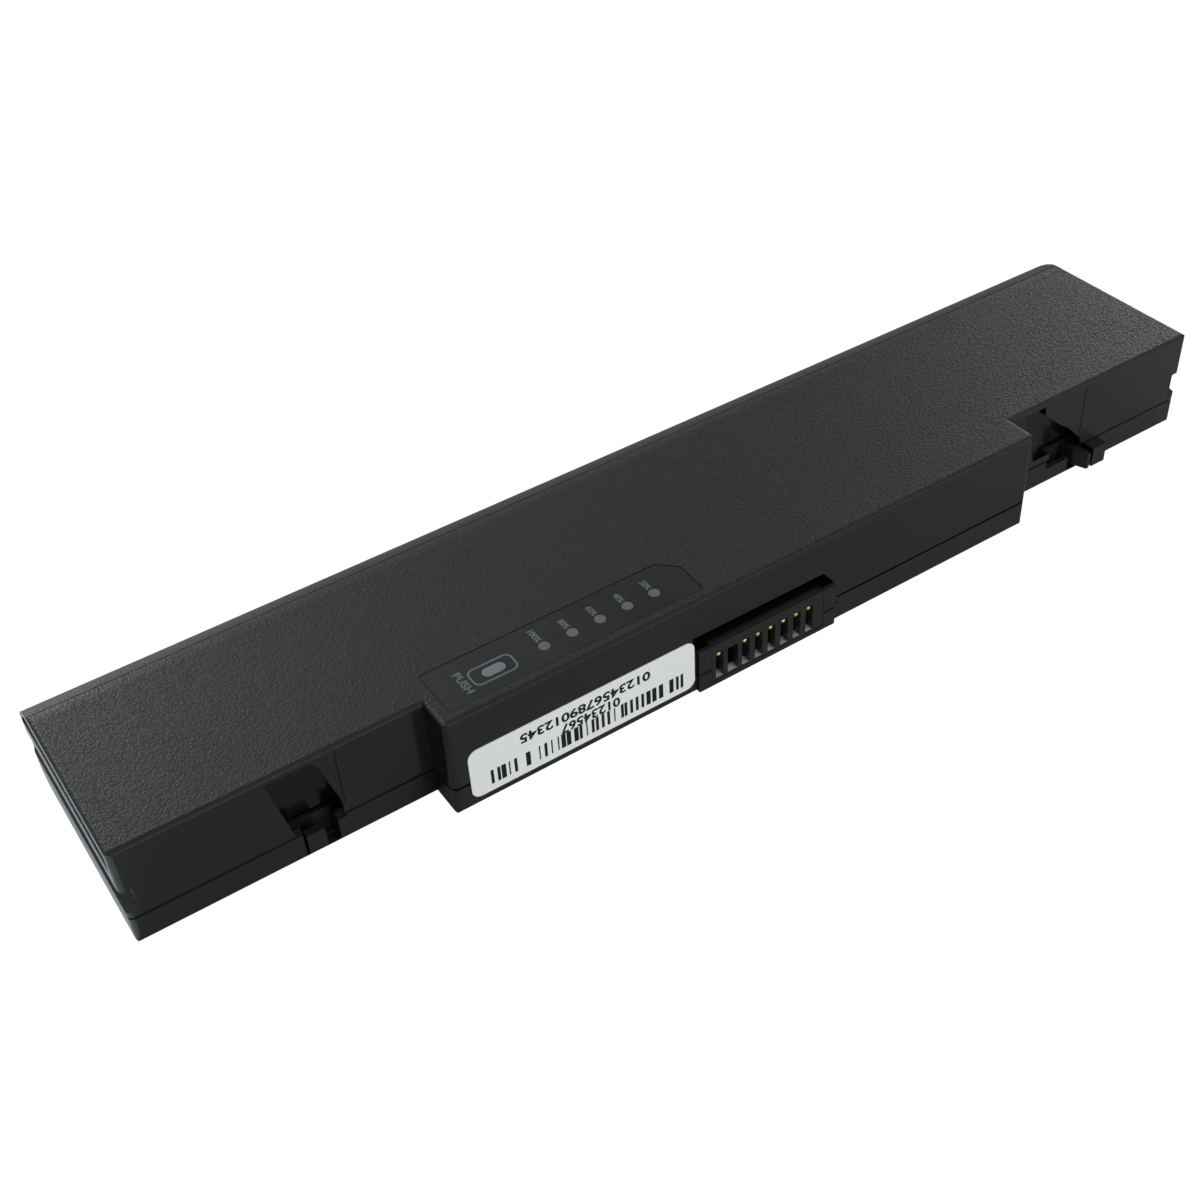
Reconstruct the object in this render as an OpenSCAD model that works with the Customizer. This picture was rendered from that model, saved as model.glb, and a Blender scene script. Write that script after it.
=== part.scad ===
// Rechargeable laptop battery pack: six round cells in a two-part moulded case.
// Datum for all drawing: x = 0 at mid length, y = 0 on the front face of the wide section,
// z = 0 on the base. Each module ends in the part's own frame, centred over its base.

/* [Cells] */
// Diameter of a cell with its sleeve
cell_d = 18.4; // [18:0.1:18.8]
// Length of a cell over its button
cell_l = 65; // [60:0.5:67]
// Space between two cell ends, which holds a folded nickel strip
cell_end_gap = 0.8; // [0.6:0.1:1.5]
// Space between the front and the rear row of cells
row_gap = 0.2; // [0.1:0.1:1]
// Clearance between a cell and the case
cell_fit = 0.05; // [0.03:0.01:0.15]
// Diameter of the positive button
cell_button_d = 6.5; // [5:0.5:8]
// Height of the positive button
cell_button_h = 1.0; // [0.6:0.1:1.5]

/* [Case] */
// Length over both ends
body_l = 224; // [216:1:240]
// Wall thickness of both covers
wall = 1.0; // [0.9:0.05:1.2]
// Clear depth in front of the cells inside the wide section
wide_bay = 10.1; // [9.8:0.1:12]
// Clear depth in front of the cells inside the narrow ends
narrow_bay = 3.7; // [3.6:0.1:4.2]
// Room behind the rear row of cells
rear_room = 0.8; // [0.6:0.1:1.5]
// Width of the wide front section
wide_w = 124.6; // [120:0.2:130]
// Centre of the wide section, to the right of mid length
wide_shift = 2.5; // [0:0.5:4]
// Radius of the rounding under the rear edge
belly_r = 8.5; // [7:0.5:9]
// Radius of the long outer edges
edge_r = 0.8; // [0.4:0.1:0.9]
// Plan radius of the rear corners at the two ends
rear_corner_r = 2.0; // [1.2:0.1:3]
// Plan radius of the front corners at the two ends
front_corner_r = 1.0; // [0.9:0.1:1.4]
// Plan radius of the front corners of the wide section
wide_corner_r = 1.2; // [0.8:0.1:2]
// Distance of the fine styling groove from the rear edge
style_groove_back = 8.7; // [8:0.1:12]
// Depth of the styling groove
style_groove_depth = 0.1; // [0.05:0.05:0.2]
// Width of the styling groove and of the lines beside the latch pockets
line_w = 0.2; // [0.15:0.05:0.3]

/* [Seam] */
// Height of the seam between the covers
seam_z = 5.6; // [5.4:0.1:5.8]
// Open height of the seam
seam_gap = 0.4; // [0.2:0.05:0.5]
// Depth of the seam's reveal, in front of the inner tongue
reveal = 0.5; // [0.4:0.05:0.55]
// Clearance between the tongue and the top cover's skirt
tongue_fit = 0.05; // [0.03:0.01:0.1]
// Height of the tongue above the bottom cover's wall
tongue_h = 1.2; // [1:0.1:1.4]

/* [End guide grooves] */
// Depth of the groove along each end
groove_depth = 2.0; // [1.2:0.1:2.2]
// Height of the groove's upper edge
groove_top_z = 11.8; // [11:0.1:13]
// Height of the end of the groove's straight back
groove_mid_z = 8.7; // [8.4:0.1:9.5]
// Height of the groove's lower edge at the outside
groove_low_z = 6.8; // [6.8:0.1:7.4]
// Thickness of the rim that closes the groove and the panel at the rear
end_rim = 0.9; // [0.8:0.05:1]
// Depth of the shallow panel above the groove
end_panel_depth = 0.5; // [0.2:0.1:0.5]
// Height of the shallow panel above the groove
end_panel_h = 3.6; // [2:0.1:5]
// Space between the shallow panel and the top face
end_panel_drop = 2.2; // [1.5:0.1:3]

/* [Charge gauge] */
// Inset of the film from the left side of the wide section
film_inset = 2.4; // [1.6:0.1:3]
// Inset of the film from the front face
film_front = 2.2; // [1.6:0.1:3]
// Length of the film
film_l = 48.7; // [46:0.1:52]
// Width of the film
film_w = 9.9; // [9:0.1:11]
// Thickness of the film
film_t = 0.3; // [0.2:0.05:0.4]
// How far the film lies under the top face
film_drop = 0.05; // [0:0.01:0.1]
// Gap round the film
film_fit = 0.12; // [0.05:0.01:0.2]
// Corner radius of the film
film_r = 0.6; // [0.4:0.1:1]
// Size of the film's slanted corner at the rear right
film_slant = 3.0; // [2:0.1:4]
// Length of the push button's face
key_l = 4.2; // [3.6:0.1:5]
// Width of the push button's face
key_w = 2.0; // [1.8:0.1:2.6]
// Clearance round the push button
key_fit = 0.12; // [0.08:0.01:0.2]
// Travel of the push button
key_travel = 0.3; // [0.2:0.05:0.35]
// Distance of the button from the film's left edge
key_from_film = 10.5; // [9:0.1:12]
// Distance of the button from the front face
key_y = 6.4; // [6:0.1:7]
// Diameter of a gauge light
light_d = 2.05; // [1.6:0.05:2.4]
// Clearance round a gauge light
light_fit = 0.1; // [0.05:0.01:0.2]
// Number of gauge lights
light_count = 5; // [3:1:5]
// Pitch of the gauge lights
light_pitch = 5.4; // [5:0.1:6]
// Distance of the first light from the film's left edge
light_from_film = 19.9; // [19:0.1:22]
// Distance of the lights from the front face
light_y = 6.2; // [5.8:0.1:6.6]

/* [Front label] */
// Inset of the label from the left side of the wide section
label_inset = 3.2; // [2:0.1:4]
// Length of the label
label_l = 44.2; // [36:0.1:44.2]
// Height of the label
label_h = 10.6; // [8:0.1:12]
// Height of the label's lower edge above the base
label_z = 1.8; // [1.2:0.1:3]
// Corner radius of the label
label_r = 1.8; // [0.5:0.1:3]
// Thickness of the label
label_t = 0.12; // [0.08:0.01:0.2]

/* [Connector] */
// Distance of the connector lip from the left side of the wide section
lip_from_side = 48.0; // [47.6:0.1:52]
// Length of the connector lip
lip_l = 29.8; // [29.6:0.1:32]
// How far the lip and the connector stand out of the front face
lip_out = 0.65; // [0.3:0.05:1]
// Height of the lip's top and of the seam beside the connector
lip_top_z = 4.1; // [3.8:0.1:4.4]
// Distance of the connector housing from the lip's left end
housing_inset = 2.7; // [2.4:0.1:3]
// Height of the connector housing's underside
housing_z = 1.15; // [1.15:0.05:1.4]
// Height of the connector housing's front top
housing_top_z = 9.4; // [9:0.1:9.6]
// Clearance between the connector housing and the covers
housing_fit = 0.1; // [0.05:0.01:0.15]
// Pitch of the contact slots
slot_pitch = 2.8; // [2.7:0.01:2.82]
// Number of contact slots, with the keyed one
slot_count = 8; // [8:1:8]
// Which slot is the blank key
key_slot = 2; // [2:1:2]
// Width of a contact slot
slot_w = 1.6; // [1.3:0.05:1.7]
// Width of the key slot
key_slot_w = 2.2; // [1.8:0.05:2.4]
// Height of the floor of the slots
slot_floor_z = 1.7; // [1.6:0.05:2]
// Height of the top of the slots
slot_top_z = 7.3; // [7.2:0.1:8]
// Width of the housing beyond the first slot's centre
slot_margin = 1.6; // [1.5:0.1:2]
// Width of the housing beyond the last slot's centre
housing_end = 3.1; // [2.6:0.1:3.2]
// Depth of the slots
slot_depth = 5.2; // [4.8:0.1:5.4]
// Height of the opening above the connector
recess_h = 3.3; // [3:0.1:3.5]
// Depth of the opening above the connector
recess_depth = 4.1; // [3.6:0.1:4.2]
// Run of the slanted right end of that opening
recess_slant = 2.5; // [2:0.1:3]

/* [Contacts] */
// Thickness of the contact strip
contact_t = 0.3; // [0.25:0.05:0.35]
// Width of a contact's arm and tail
contact_w = 0.5; // [0.4:0.05:0.6]
// Width of a contact's tip
contact_tip_w = 0.9; // [0.7:0.05:1]
// Radius of the curled tip
contact_tip_r = 0.45; // [0.35:0.05:0.5]
// Height of the tip's centre
contact_tip_z = 6.6; // [6.4:0.05:6.7]
// Setback of the tip's centre behind the connector's front
contact_tip_back = 0.7; // [0.6:0.05:1]

/* [Circuit board] */
// Thickness of the circuit board
board_t = 1.0; // [0.8:0.1:1.6]
// Gap between the board and the top of the connector opening's wall
board_lift = 0.2; // [0.1:0.1:0.4]
// Gap between the board's front edge and the case wall
board_front_gap = 0.4; // [0.3:0.1:0.6]
// Gap between the board's rear edge and the nickel leads
board_rear_gap = 0.2; // [0.2:0.1:0.5]
// Gap between the board's left edge and the case wall
board_side_gap = 1.3; // [1:0.1:2]
// Side of the square tact switch
switch_w = 5.2; // [4.5:0.1:6]
// Height of the tact switch's body
switch_h = 1.6; // [1.5:0.1:2]
// Diameter of the tact switch's plunger
plunger_d = 2.0; // [1.6:0.1:2.4]
// How far the plunger stands out of the switch
plunger_out = 0.4; // [0.4:0.05:0.6]
// Height of a light emitting diode
led_h = 0.8; // [0.6:0.1:1]
// Side of a light emitting diode
led_w = 1.6; // [1.2:0.1:2]

/* [Nickel strips] */
// Thickness of the nickel
nickel_t = 0.15; // [0.1:0.05:0.2]
// Height of the strip across the cell ends
strip_h = 8; // [6:0.5:9]
// Distance of the leads' front face from the cells
lead_back = 0.5; // [0.45:0.01:0.5]
// Height of a lead
lead_h = 2.6; // [2:0.1:2.6]
// Thickness of the insulating paper
paper_t = 0.2; // [0.15:0.05:0.2]

/* [Latch pockets and catches] */
// Depth of a latch pocket behind the narrow face
pocket_depth = 3.3; // [3:0.1:3.3]
// Wall thickness round a latch pocket
pocket_wall = 0.7; // [0.6:0.05:0.7]
// Space between the pockets and the top face
pocket_drop = 1.2; // [1.2:0.1:1.8]
// Distance of the left pocket's upper left corner from the wide section
pocket_left_x = 27.4; // [26.2:0.1:28.2]
// Distance of the right pocket's upper left corner from the wide section
pocket_right_x = 3.6; // [3:0.1:5]
// Distance of the left tooth's left side from the wide section
left_tooth_x = 23.1; // [22.6:0.1:23.4]
// Length of the left tooth
left_tooth_l = 3.2; // [3:0.1:3.4]
// How far the left tooth stands out
left_tooth_out = 0.4; // [0.3:0.1:1]
// Height of the left tooth's top
left_tooth_top_z = 5.1; // [4.5:0.1:5.2]
// Slit to the left of the left tooth
left_slit = 0.4; // [0.3:0.1:0.8]
// Gap to the right of the left tooth
left_gap = 2.3; // [1.8:0.1:2.5]
// Length of the left prong
left_prong_l = 1.7; // [1.2:0.1:2]
// How far the left prong stands out
left_prong_out = 0.5; // [0.3:0.1:0.8]
// Distance of the right tooth's outer side from the wide section
right_tooth_x = 21.3; // [20.8:0.1:21.6]
// Width of the right tooth's tip
right_tooth_tip = 0.7; // [0.5:0.1:1]
// Sideways run of the right tooth's slanted side
right_tooth_run = 2.3; // [1.5:0.1:2.6]
// How far the right tooth stands out
right_tooth_out = 2.6; // [2:0.1:3]
// Height of the right tooth's underside
right_tooth_z = 1.3; // [1.1:0.1:1.8]
// Height of the right tooth's top
right_tooth_top_z = 4.8; // [4.4:0.1:5.1]
// Gap to the right of the right tooth
right_gap = 0.8; // [0.6:0.1:1.4]
// Length of the right prong
right_prong_l = 3.5; // [3:0.1:4]
// How far the right prong stands out
right_prong_out = 2.5; // [2:0.1:2.8]
// Height of the prongs' underside
prong_z = 1.2; // [1:0.1:1.6]

/* [Hidden] */
$fn = 64;

// Overshoot of a cutting body past the face that it cuts
cut = 1;
// Small overlap of two bodies that are joined
bond = 0.01;

// Colours
case_black = "#2a2c2e";
film_black = "#35383a";
print_grey = "#b9c2c6";
light_grey = "#a9a29a";
label_white = "#f1f2ef";
contact_gold = "#d8ad55";
board_green = "#1f5a38";
part_black = "#1b1b1d";
part_silver = "#c9cccd";
sleeve_blue = "#2f6f9f";
paper_grey = "#9fb0a4";

// Case outline
body_h = cell_d + 2 * (wall + cell_fit);
front_row_y = wall + wide_bay + cell_d / 2;
rear_row_y = front_row_y + cell_d + row_gap;
cell_z = wall + cell_fit + cell_d / 2;
body_back = rear_row_y + cell_d / 2 + rear_room + wall;
narrow_y = wide_bay - narrow_bay;
crown_r = body_back - rear_row_y;
crown_z = body_h - crown_r;
belly_y = body_back - belly_r;
end_x = body_l / 2;
wide_x0 = wide_shift - wide_w / 2;
wide_x1 = wide_shift + wide_w / 2;
wide_depth = wall + wide_bay;
mid_y = (body_back - lip_out) / 2;

// Seam
bottom_edge_z = seam_z - seam_gap / 2;
top_edge_z = seam_z + seam_gap / 2;
tongue_top_z = bottom_edge_z + tongue_h;

// Charge gauge
film_x0 = wide_x0 + film_inset;
film_top_z = body_h - film_drop;
film_floor_z = film_top_z - film_t;
lid_z = body_h - wall;
key_x = film_x0 + key_from_film;
light_x0 = film_x0 + light_from_film;
key_flange = 0.8;
key_flange_t = 0.7;
key_flange_gap = 0.1;
key_top_z = film_top_z + 0.03;
guide_bar_w = 3.4;
guide_bar_t = 1.4;
guide_led_gap = 0.3;
guide_foot_l = 1.4;
guide_end = 2.1;
guide_tip_drop = 0.01;

// Connector
lip_x0 = wide_x0 + lip_from_side;
lip_x1 = lip_x0 + lip_l;
lip_foot_z = 0.2;
housing_x0 = lip_x0 + housing_inset;
slot_x0 = housing_x0 + slot_margin;
housing_x1 = slot_x0 + (slot_count - 1) * slot_pitch + housing_end;
recess_top_z = housing_top_z + recess_h;
recess_over = 0.8;
surround_wall = 0.8;
surround_x0 = lip_x0 - recess_over - surround_wall;
surround_x1 = lip_x1 + surround_wall;
surround_y = recess_depth + surround_wall;
surround_top_z = recess_top_z + surround_wall;
stand_y0 = surround_y + housing_fit;
stand_y1 = 9;
tail_y = stand_y0 + 1.4;
arm_foot_y = 2.4;
contact_base_z = slot_floor_z + 0.4;
channel_y = 1;
channel_fit = 0.1;

// Circuit board
board_z = surround_top_z + board_lift;
board_top_z = board_z + board_t;
board_x0 = wide_x0 + wall + board_side_gap;
board_x1 = lip_x1 + surround_wall;
lead_y = front_row_y - cell_d / 2 - lead_back;
board_y0 = wall + board_front_gap;
board_y1 = lead_y - board_rear_gap;
post_w = 3;
peg_d = 2.4;
post_y = board_y0 + 1.2;
tail_hole_d = 0.9;
plunger_in = 1.05;
plunger_fit = 0.1;
stem_d = 2.6;

// Components, as length, width and height
gauge_chip_size = [9.7, 6.4, 1.2];
gauge_chip_x = 15.5;
power_chip_size = [5, 4, 1.6];
power_chip_x = 20;
power_chip_pitch = 8;
resistor_size = [6.4, 3.2, 0.8];
resistor_x = 6.5;
thermistor_size = [3.2, 1.6, 1];
thermistor_x = 10;
thermistor_y = 1.2;

// Cells
column_pitch = cell_l + cell_end_gap;
pack_x0 = -(3 * cell_l + 2 * cell_end_gap) / 2;
rib_t = 1.2;
rib_fit = 0.08;
rib_reach = 7;
rib_from_end = 9;
bead_top = 2.6;
bead_slope = 0.4;
bead_w = 0.6;
bead_depth = 0.5;

// Nickel leads
strip_margin = 2;
tab_l = 4;
tab_reach = 1.4;
upper_lead_z = board_top_z;
lower_lead_z = board_z - lead_h;
fuse_l = 10;
fuse_h = 3.6;
fuse_t = 1.4;
fuse_drop = 0.5;
paper_fit = 0.05;
paper_margin = 2;
paper_slot_fit = 0.3;

// Latch pockets, as corner points on the narrow face
pocket_top_z = body_h - pocket_drop;
pocket_back_y = narrow_y + pocket_depth;
pocket_left = wide_x0 - pocket_left_x;
pocket_right = wide_x1 + pocket_right_x;
pocket_left_foot = 3.0;
pocket_left_end = 11.3;
pocket_right_foot = 9.0;
pocket_right_end = 17.0;
left_line_x = pocket_left + pocket_left_end + 0.3;
right_line_x = pocket_right + 16.3;
line_low_z = 8;
line_depth = 0.15;
tooth_left = wide_x0 - left_tooth_x;
left_tooth_z = 1.0;
left_gap_x = tooth_left + left_tooth_l;
right_gap_x = wide_x1 + right_tooth_x;
mouth_x = pocket_right + 8.3;
mouth_z = 3.6;
tooth_clear = 0.4;
catch_gap_z = 0.5;

// Moves a body from the drawing's datum to the part's own frame
module to_frame() {
    translate([0, -mid_y, 0]) children();
}

// Extrudes an outline drawn in y and z along x
module along_x(x0, x1) {
    translate([x0, 0, 0]) rotate([90, 0, 90]) linear_extrude(x1 - x0) children();
}

// Extrudes an outline drawn in x and z along y
module along_y(y0, y1) {
    translate([0, y1, 0]) rotate([90, 0, 0]) linear_extrude(y1 - y0) children();
}

// Extrudes an outline drawn in x and y along z
module along_z(z0, z1) {
    translate([0, 0, z0]) linear_extrude(z1 - z0) children();
}

// A box from one corner to the opposite one
module block(a, b) {
    translate(a) cube(b - a);
}

// A rectangle with round corners, or square ones where no radius is left
module rounded_rect(x0, y0, x1, y1, r) {
    if (r > 0.02) {
        translate([x0 + r, y0]) square([x1 - x0 - 2 * r, y1 - y0]);
        translate([x0, y0 + r]) square([x1 - x0, y1 - y0 - 2 * r]);
        for (x = [x0 + r, x1 - r], y = [y0 + r, y1 - r]) translate([x, y]) circle(r);
    } else {
        translate([x0, y0]) square([x1 - x0, y1 - y0]);
    }
}

// A rectangle with fully round ends, centred
module oval(l, w) {
    square([l - w, w], center = true);
    for (s = [-1, 1]) translate([s * (l - w) / 2, 0]) circle(w / 2);
}

// Case section behind the narrow face: a crown round the rear cells and a rounded belly
module main_section(t) {
    intersection() {
        rounded_rect(narrow_y + t, t, body_back - t, body_h - t, max(edge_r - t, 0));
        union() {
            translate([-body_back, -body_h]) square([body_back + rear_row_y, 3 * body_h]);
            translate([-body_back, -body_h]) square([3 * body_back, body_h + crown_z]);
            translate([rear_row_y, crown_z]) circle(crown_r - t);
        }
        union() {
            translate([-body_back, -body_h]) square([body_back + belly_y, 3 * body_h]);
            translate([-body_back, belly_r]) square([3 * body_back, 2 * body_h]);
            translate([belly_y, belly_r]) circle(belly_r - t);
        }
    }
}

// The full-length part of the case, set in by t on every side
module main_block(t) {
    x0 = -end_x + t;
    x1 = end_x - t;
    intersection() {
        along_x(x0, x1) main_section(t);
        along_y(narrow_y, body_back) rounded_rect(x0, t, x1, body_h - t, max(edge_r - t, 0));
        along_z(0, body_h) union() {
            rounded_rect(x0, narrow_y + t, x1, rear_row_y, max(front_corner_r - t, 0));
            rounded_rect(x0, front_row_y, x1, body_back - t, max(rear_corner_r - t, 0));
        }
    }
}

// The wide front section, set in by t on every side
module wide_block(t) {
    x0 = wide_x0 + t;
    x1 = wide_x1 - t;
    y1 = wide_depth + narrow_bay;
    intersection() {
        along_x(x0, x1) rounded_rect(t, t, y1, body_h - t, max(edge_r - t, 0));
        along_y(0, y1) rounded_rect(x0, t, x1, body_h - t, max(edge_r - t, 0));
        along_z(0, body_h) rounded_rect(x0, t, x1, y1, max(wide_corner_r - t, 0));
    }
}

// Guide groove along an end, grown by t so that the wall behind it keeps its thickness
module end_groove(side, t) {
    slope = (groove_mid_z - groove_low_z) / groove_depth;
    shift = t * sqrt(1 + slope * slope);
    deep = groove_depth + t;
    outline = [
        [end_x - deep, groove_top_z + t],
        [end_x + cut, groove_top_z + t],
        [end_x + cut, groove_low_z - slope * cut - shift],
        [end_x - deep, groove_mid_z + slope * t - shift]
    ];
    along_y(narrow_y - cut, body_back + t - end_rim) polygon([for (p = outline) [side * p[0], p[1]]]);
}

// The whole case as one solid, set in by t
module form(t) {
    difference() {
        union() {
            main_block(t);
            wide_block(t);
        }
        for (side = [-1, 1]) end_groove(side, t);
    }
}

// Everything between two heights
module slab(z0, z1) {
    block([-body_l, -body_back, z0], [body_l, 2 * body_back, z1]);
}

// Everything up to a height, apart from the connector's surround
module beside_surround(z) {
    block([-body_l, -body_back, -cut], [surround_x0, 2 * body_back, z]);
    block([surround_x1, -body_back, -cut], [body_l, 2 * body_back, z]);
    block([-body_l, surround_y, -cut], [body_l, 2 * body_back, z]);
}

// Mouth of the left latch pocket, grown by t
module left_pocket_outline(t) {
    polygon([
        [pocket_left - t, pocket_top_z + t],
        [pocket_left + 7.6 + t, pocket_top_z + t],
        [pocket_left + 8.7 + t, 18.0 + t],
        [pocket_left + pocket_left_end + t, 8.4 + t],
        [pocket_left + pocket_left_end + t, top_edge_z - cut],
        [pocket_left + pocket_left_foot - t, top_edge_z - cut],
        [pocket_left + 1.2 - t, 13.4]
    ]);
}

// Mouth of the right latch pocket, grown by t, with its narrow slot at the top
module right_pocket_outline(t) {
    polygon([
        [pocket_right - t, pocket_top_z + t],
        [pocket_right + 5.7 + t, pocket_top_z + t],
        [pocket_right + 6.0 + t, 17.3 + t],
        [pocket_right + 10.5 + t, 13.2 + t],
        [pocket_right + 13.0 + t, 11.4 + t],
        [pocket_right + pocket_right_end + t, 7.2 + t],
        [pocket_right + pocket_right_end + t, top_edge_z - cut],
        [pocket_right + pocket_right_foot - t, top_edge_z - cut],
        [pocket_right + 8.6 - t, 7.2 - t],
        [pocket_right + 4.3 - t, 7.2 - t],
        [pocket_right + 2.6 - t, 13.5]
    ]);
}

// Plan of the gauge film, grown by t, with its slanted corner
module film_outline(t) {
    x0 = film_x0 - t;
    x1 = film_x0 + film_l + t;
    y0 = film_front - t;
    y1 = film_front + film_w + t;
    slant = film_slant + t * (2 - sqrt(2));
    intersection() {
        rounded_rect(x0, y0, x1, y1, film_r + t);
        polygon([
            [x0 - cut, y0 - cut],
            [x1 + cut, y0 - cut],
            [x1 + cut, y1 - slant - cut],
            [x1 - slant - cut, y1 + cut],
            [x0 - cut, y1 + cut]
        ]);
    }
}

// Opening above the connector, slanted at its right end
module recess_outline() {
    polygon([
        [lip_x0 - recess_over, housing_top_z],
        [lip_x0 - recess_over, recess_top_z],
        [lip_x1 - recess_slant, recess_top_z],
        [lip_x1, housing_top_z + 0.2],
        [lip_x1, housing_top_z]
    ]);
}

// Clear space for the connector housing in both covers
module housing_bay() {
    f = housing_fit;
    block([housing_x0 - f, -lip_out - cut, housing_z - f], [housing_x1 + f, stand_y1, housing_top_z + f]);
}

// Places a child at each end of each cell, where the cradle ribs stand
module at_ribs() {
    for (i = [0:2], s = [rib_from_end, cell_l - rib_from_end])
        translate([pack_x0 + i * column_pitch + s, 0, 0]) children();
}

// Cradle rib across both rows, between two heights
module cradle_rib(z0, z1) {
    difference() {
        along_x(-rib_t / 2, rib_t / 2)
            translate([front_row_y - rib_reach, z0])
            square([rear_row_y - front_row_y + 2 * rib_reach, z1 - z0]);
        for (y = [front_row_y, rear_row_y])
            along_x(-rib_t, rib_t) translate([y, cell_z]) circle(cell_d / 2 + rib_fit);
    }
}

module top_cover() {
    color(case_black) to_frame() difference() {
        union() {
            difference() {
                form(0);
                form(wall);
            }
            intersection() {
                form(0);
                union() {
                    along_y(narrow_y, pocket_back_y + pocket_wall) left_pocket_outline(pocket_wall);
                    along_y(narrow_y, pocket_back_y + pocket_wall) right_pocket_outline(pocket_wall);
                    block([surround_x0, 0, lip_top_z], [surround_x1, surround_y, surround_top_z]);
                }
            }
            intersection() {
                form(wall - bond);
                at_ribs() cradle_rib(cell_z + strip_h / 2 + wall, body_h);
            }
            // Pegs that hold the board down
            for (x = [board_x0 + post_w / 2, board_x1 - post_w / 2])
                translate([x, post_y, board_top_z])
                cylinder(d = peg_d, h = lid_z - board_top_z + bond);
            // Cheeks beside the connector
            block([lip_x0, -lip_out, lip_top_z + seam_gap / 2], [lip_x1, wall, housing_top_z]);
        }
        // Everything under the seam, which steps down beside the connector
        beside_surround(top_edge_z);
        slab(-cut, lip_top_z + seam_gap / 2);
        // Room for the bottom cover's tongue inside the skirt
        intersection() {
            form(reveal);
            beside_surround(tongue_top_z);
        }
        // Seat of the film, with the openings under it
        along_z(film_floor_z, body_h + cut) film_outline(film_fit);
        translate([key_x, key_y, lid_z - cut]) linear_extrude(body_h)
            oval(key_l + 2 * key_fit, key_w + 2 * key_fit);
        for (i = [0:light_count - 1])
            translate([light_x0 + i * light_pitch, light_y, lid_z - cut])
            cylinder(d = light_d + 2 * light_fit, h = body_h);
        // Latch pockets
        along_y(narrow_y - cut, pocket_back_y) left_pocket_outline(0);
        along_y(narrow_y - cut, pocket_back_y) right_pocket_outline(0);
        // Connector opening
        along_y(-lip_out - cut, recess_depth) recess_outline();
        housing_bay();
        // Fine groove along the rear of the top face
        style_y = body_back - style_groove_back;
        style_z = crown_z + sqrt(pow(crown_r, 2) - pow(style_y + line_w - rear_row_y, 2));
        block([-body_l, style_y, style_z - style_groove_depth], [body_l, style_y + line_w, body_h + cut]);
        // Shallow panels in the two ends, which follow the rounded rear
        intersection() {
            along_x(-body_l, body_l) main_section(end_rim);
            for (s = [-1, 1])
                translate([s * end_x, 0, 0])
                block([-end_panel_depth, narrow_y + rear_corner_r, body_h - end_panel_drop - end_panel_h],
                    [end_panel_depth, body_back, body_h - end_panel_drop]);
        }
        // Lines beside the latch pockets
        for (x = [left_line_x, right_line_x])
            block([x, narrow_y - cut, line_low_z], [x + line_w, narrow_y + line_depth, pocket_top_z]);
    }
}

// Left tooth, cut free at both sides in the front wall
module left_tooth() {
    block([tooth_left, narrow_y - left_tooth_out, left_tooth_z],
        [left_gap_x, narrow_y + wall, left_tooth_top_z]);
}

// Right tooth: a beam out of the pocket, with a slanted inner side
module right_tooth() {
    x = right_gap_x - right_tooth_tip;
    along_z(right_tooth_z, right_tooth_top_z) polygon([
        [x - right_tooth_run, pocket_back_y + bond],
        [x, narrow_y - right_tooth_out],
        [right_gap_x, narrow_y - right_tooth_out],
        [right_gap_x, pocket_back_y + bond]
    ]);
}

// A prong beside a tooth, on the front wall
module prong(x, l, out) {
    block([x, narrow_y - out, prong_z], [x + l, narrow_y + bond, bottom_edge_z]);
}

// Inner wall of the bottom cover behind a latch pocket
module pocket_floor(x0, x1) {
    block([x0, pocket_back_y, wall / 2], [x1, pocket_back_y + pocket_wall, bottom_edge_z]);
}

// Cuts the front wall of the bottom cover down to a height
module wall_gap(x0, x1, z) {
    block([x0, narrow_y - cut, z], [x1, narrow_y + wall + cut, body_h]);
}

module bottom_cover() {
    tongue_in = reveal + tongue_fit;
    right_gap_end = right_gap_x + right_gap;
    right_foot_x = right_gap_x - right_tooth_tip - right_tooth_run;
    color(case_black) to_frame() union() {
        difference() {
            union() {
                intersection() {
                    difference() {
                        form(0);
                        form(wall);
                    }
                    slab(-cut, bottom_edge_z);
                }
                intersection() {
                    difference() {
                        form(tongue_in);
                        form(wall);
                    }
                    slab(bottom_edge_z - wall, tongue_top_z);
                }
                intersection() {
                    form(wall - bond);
                    at_ribs() cradle_rib(0, bottom_edge_z);
                }
                pocket_floor(pocket_left + pocket_left_foot, pocket_left + pocket_left_end);
                pocket_floor(pocket_right + pocket_right_foot, right_gap_end + pocket_wall);
                // Lip under the connector
                block([lip_x0, -lip_out, lip_foot_z], [lip_x1, wall, lip_top_z - seam_gap / 2]);
                // Post that carries the board's left end
                block([board_x0, post_y - post_w / 2, wall / 2],
                    [board_x0 + post_w, post_y + post_w / 2, board_z]);
                prong(left_gap_x + left_gap, left_prong_l, left_prong_out);
                prong(right_gap_end, right_prong_l, right_prong_out);
            }
            // Step of the seam beside the connector
            block([surround_x0 - tongue_fit, -lip_out - cut, lip_top_z - seam_gap / 2],
                [surround_x1 + tongue_fit, surround_y + tongue_fit, body_h]);
            housing_bay();
            // Room round the left tooth
            wall_gap(tooth_left - left_slit, tooth_left, catch_gap_z);
            wall_gap(tooth_left - left_slit, left_gap_x + bond, bottom_edge_z - tooth_clear);
            wall_gap(left_gap_x, left_gap_x + left_gap, catch_gap_z);
            // Mouth in front of the right tooth
            wall_gap(mouth_x, right_gap_x, mouth_z);
            wall_gap(right_foot_x - tooth_clear, right_gap_end, catch_gap_z);
        }
        left_tooth();
        right_tooth();
    }
}

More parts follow.
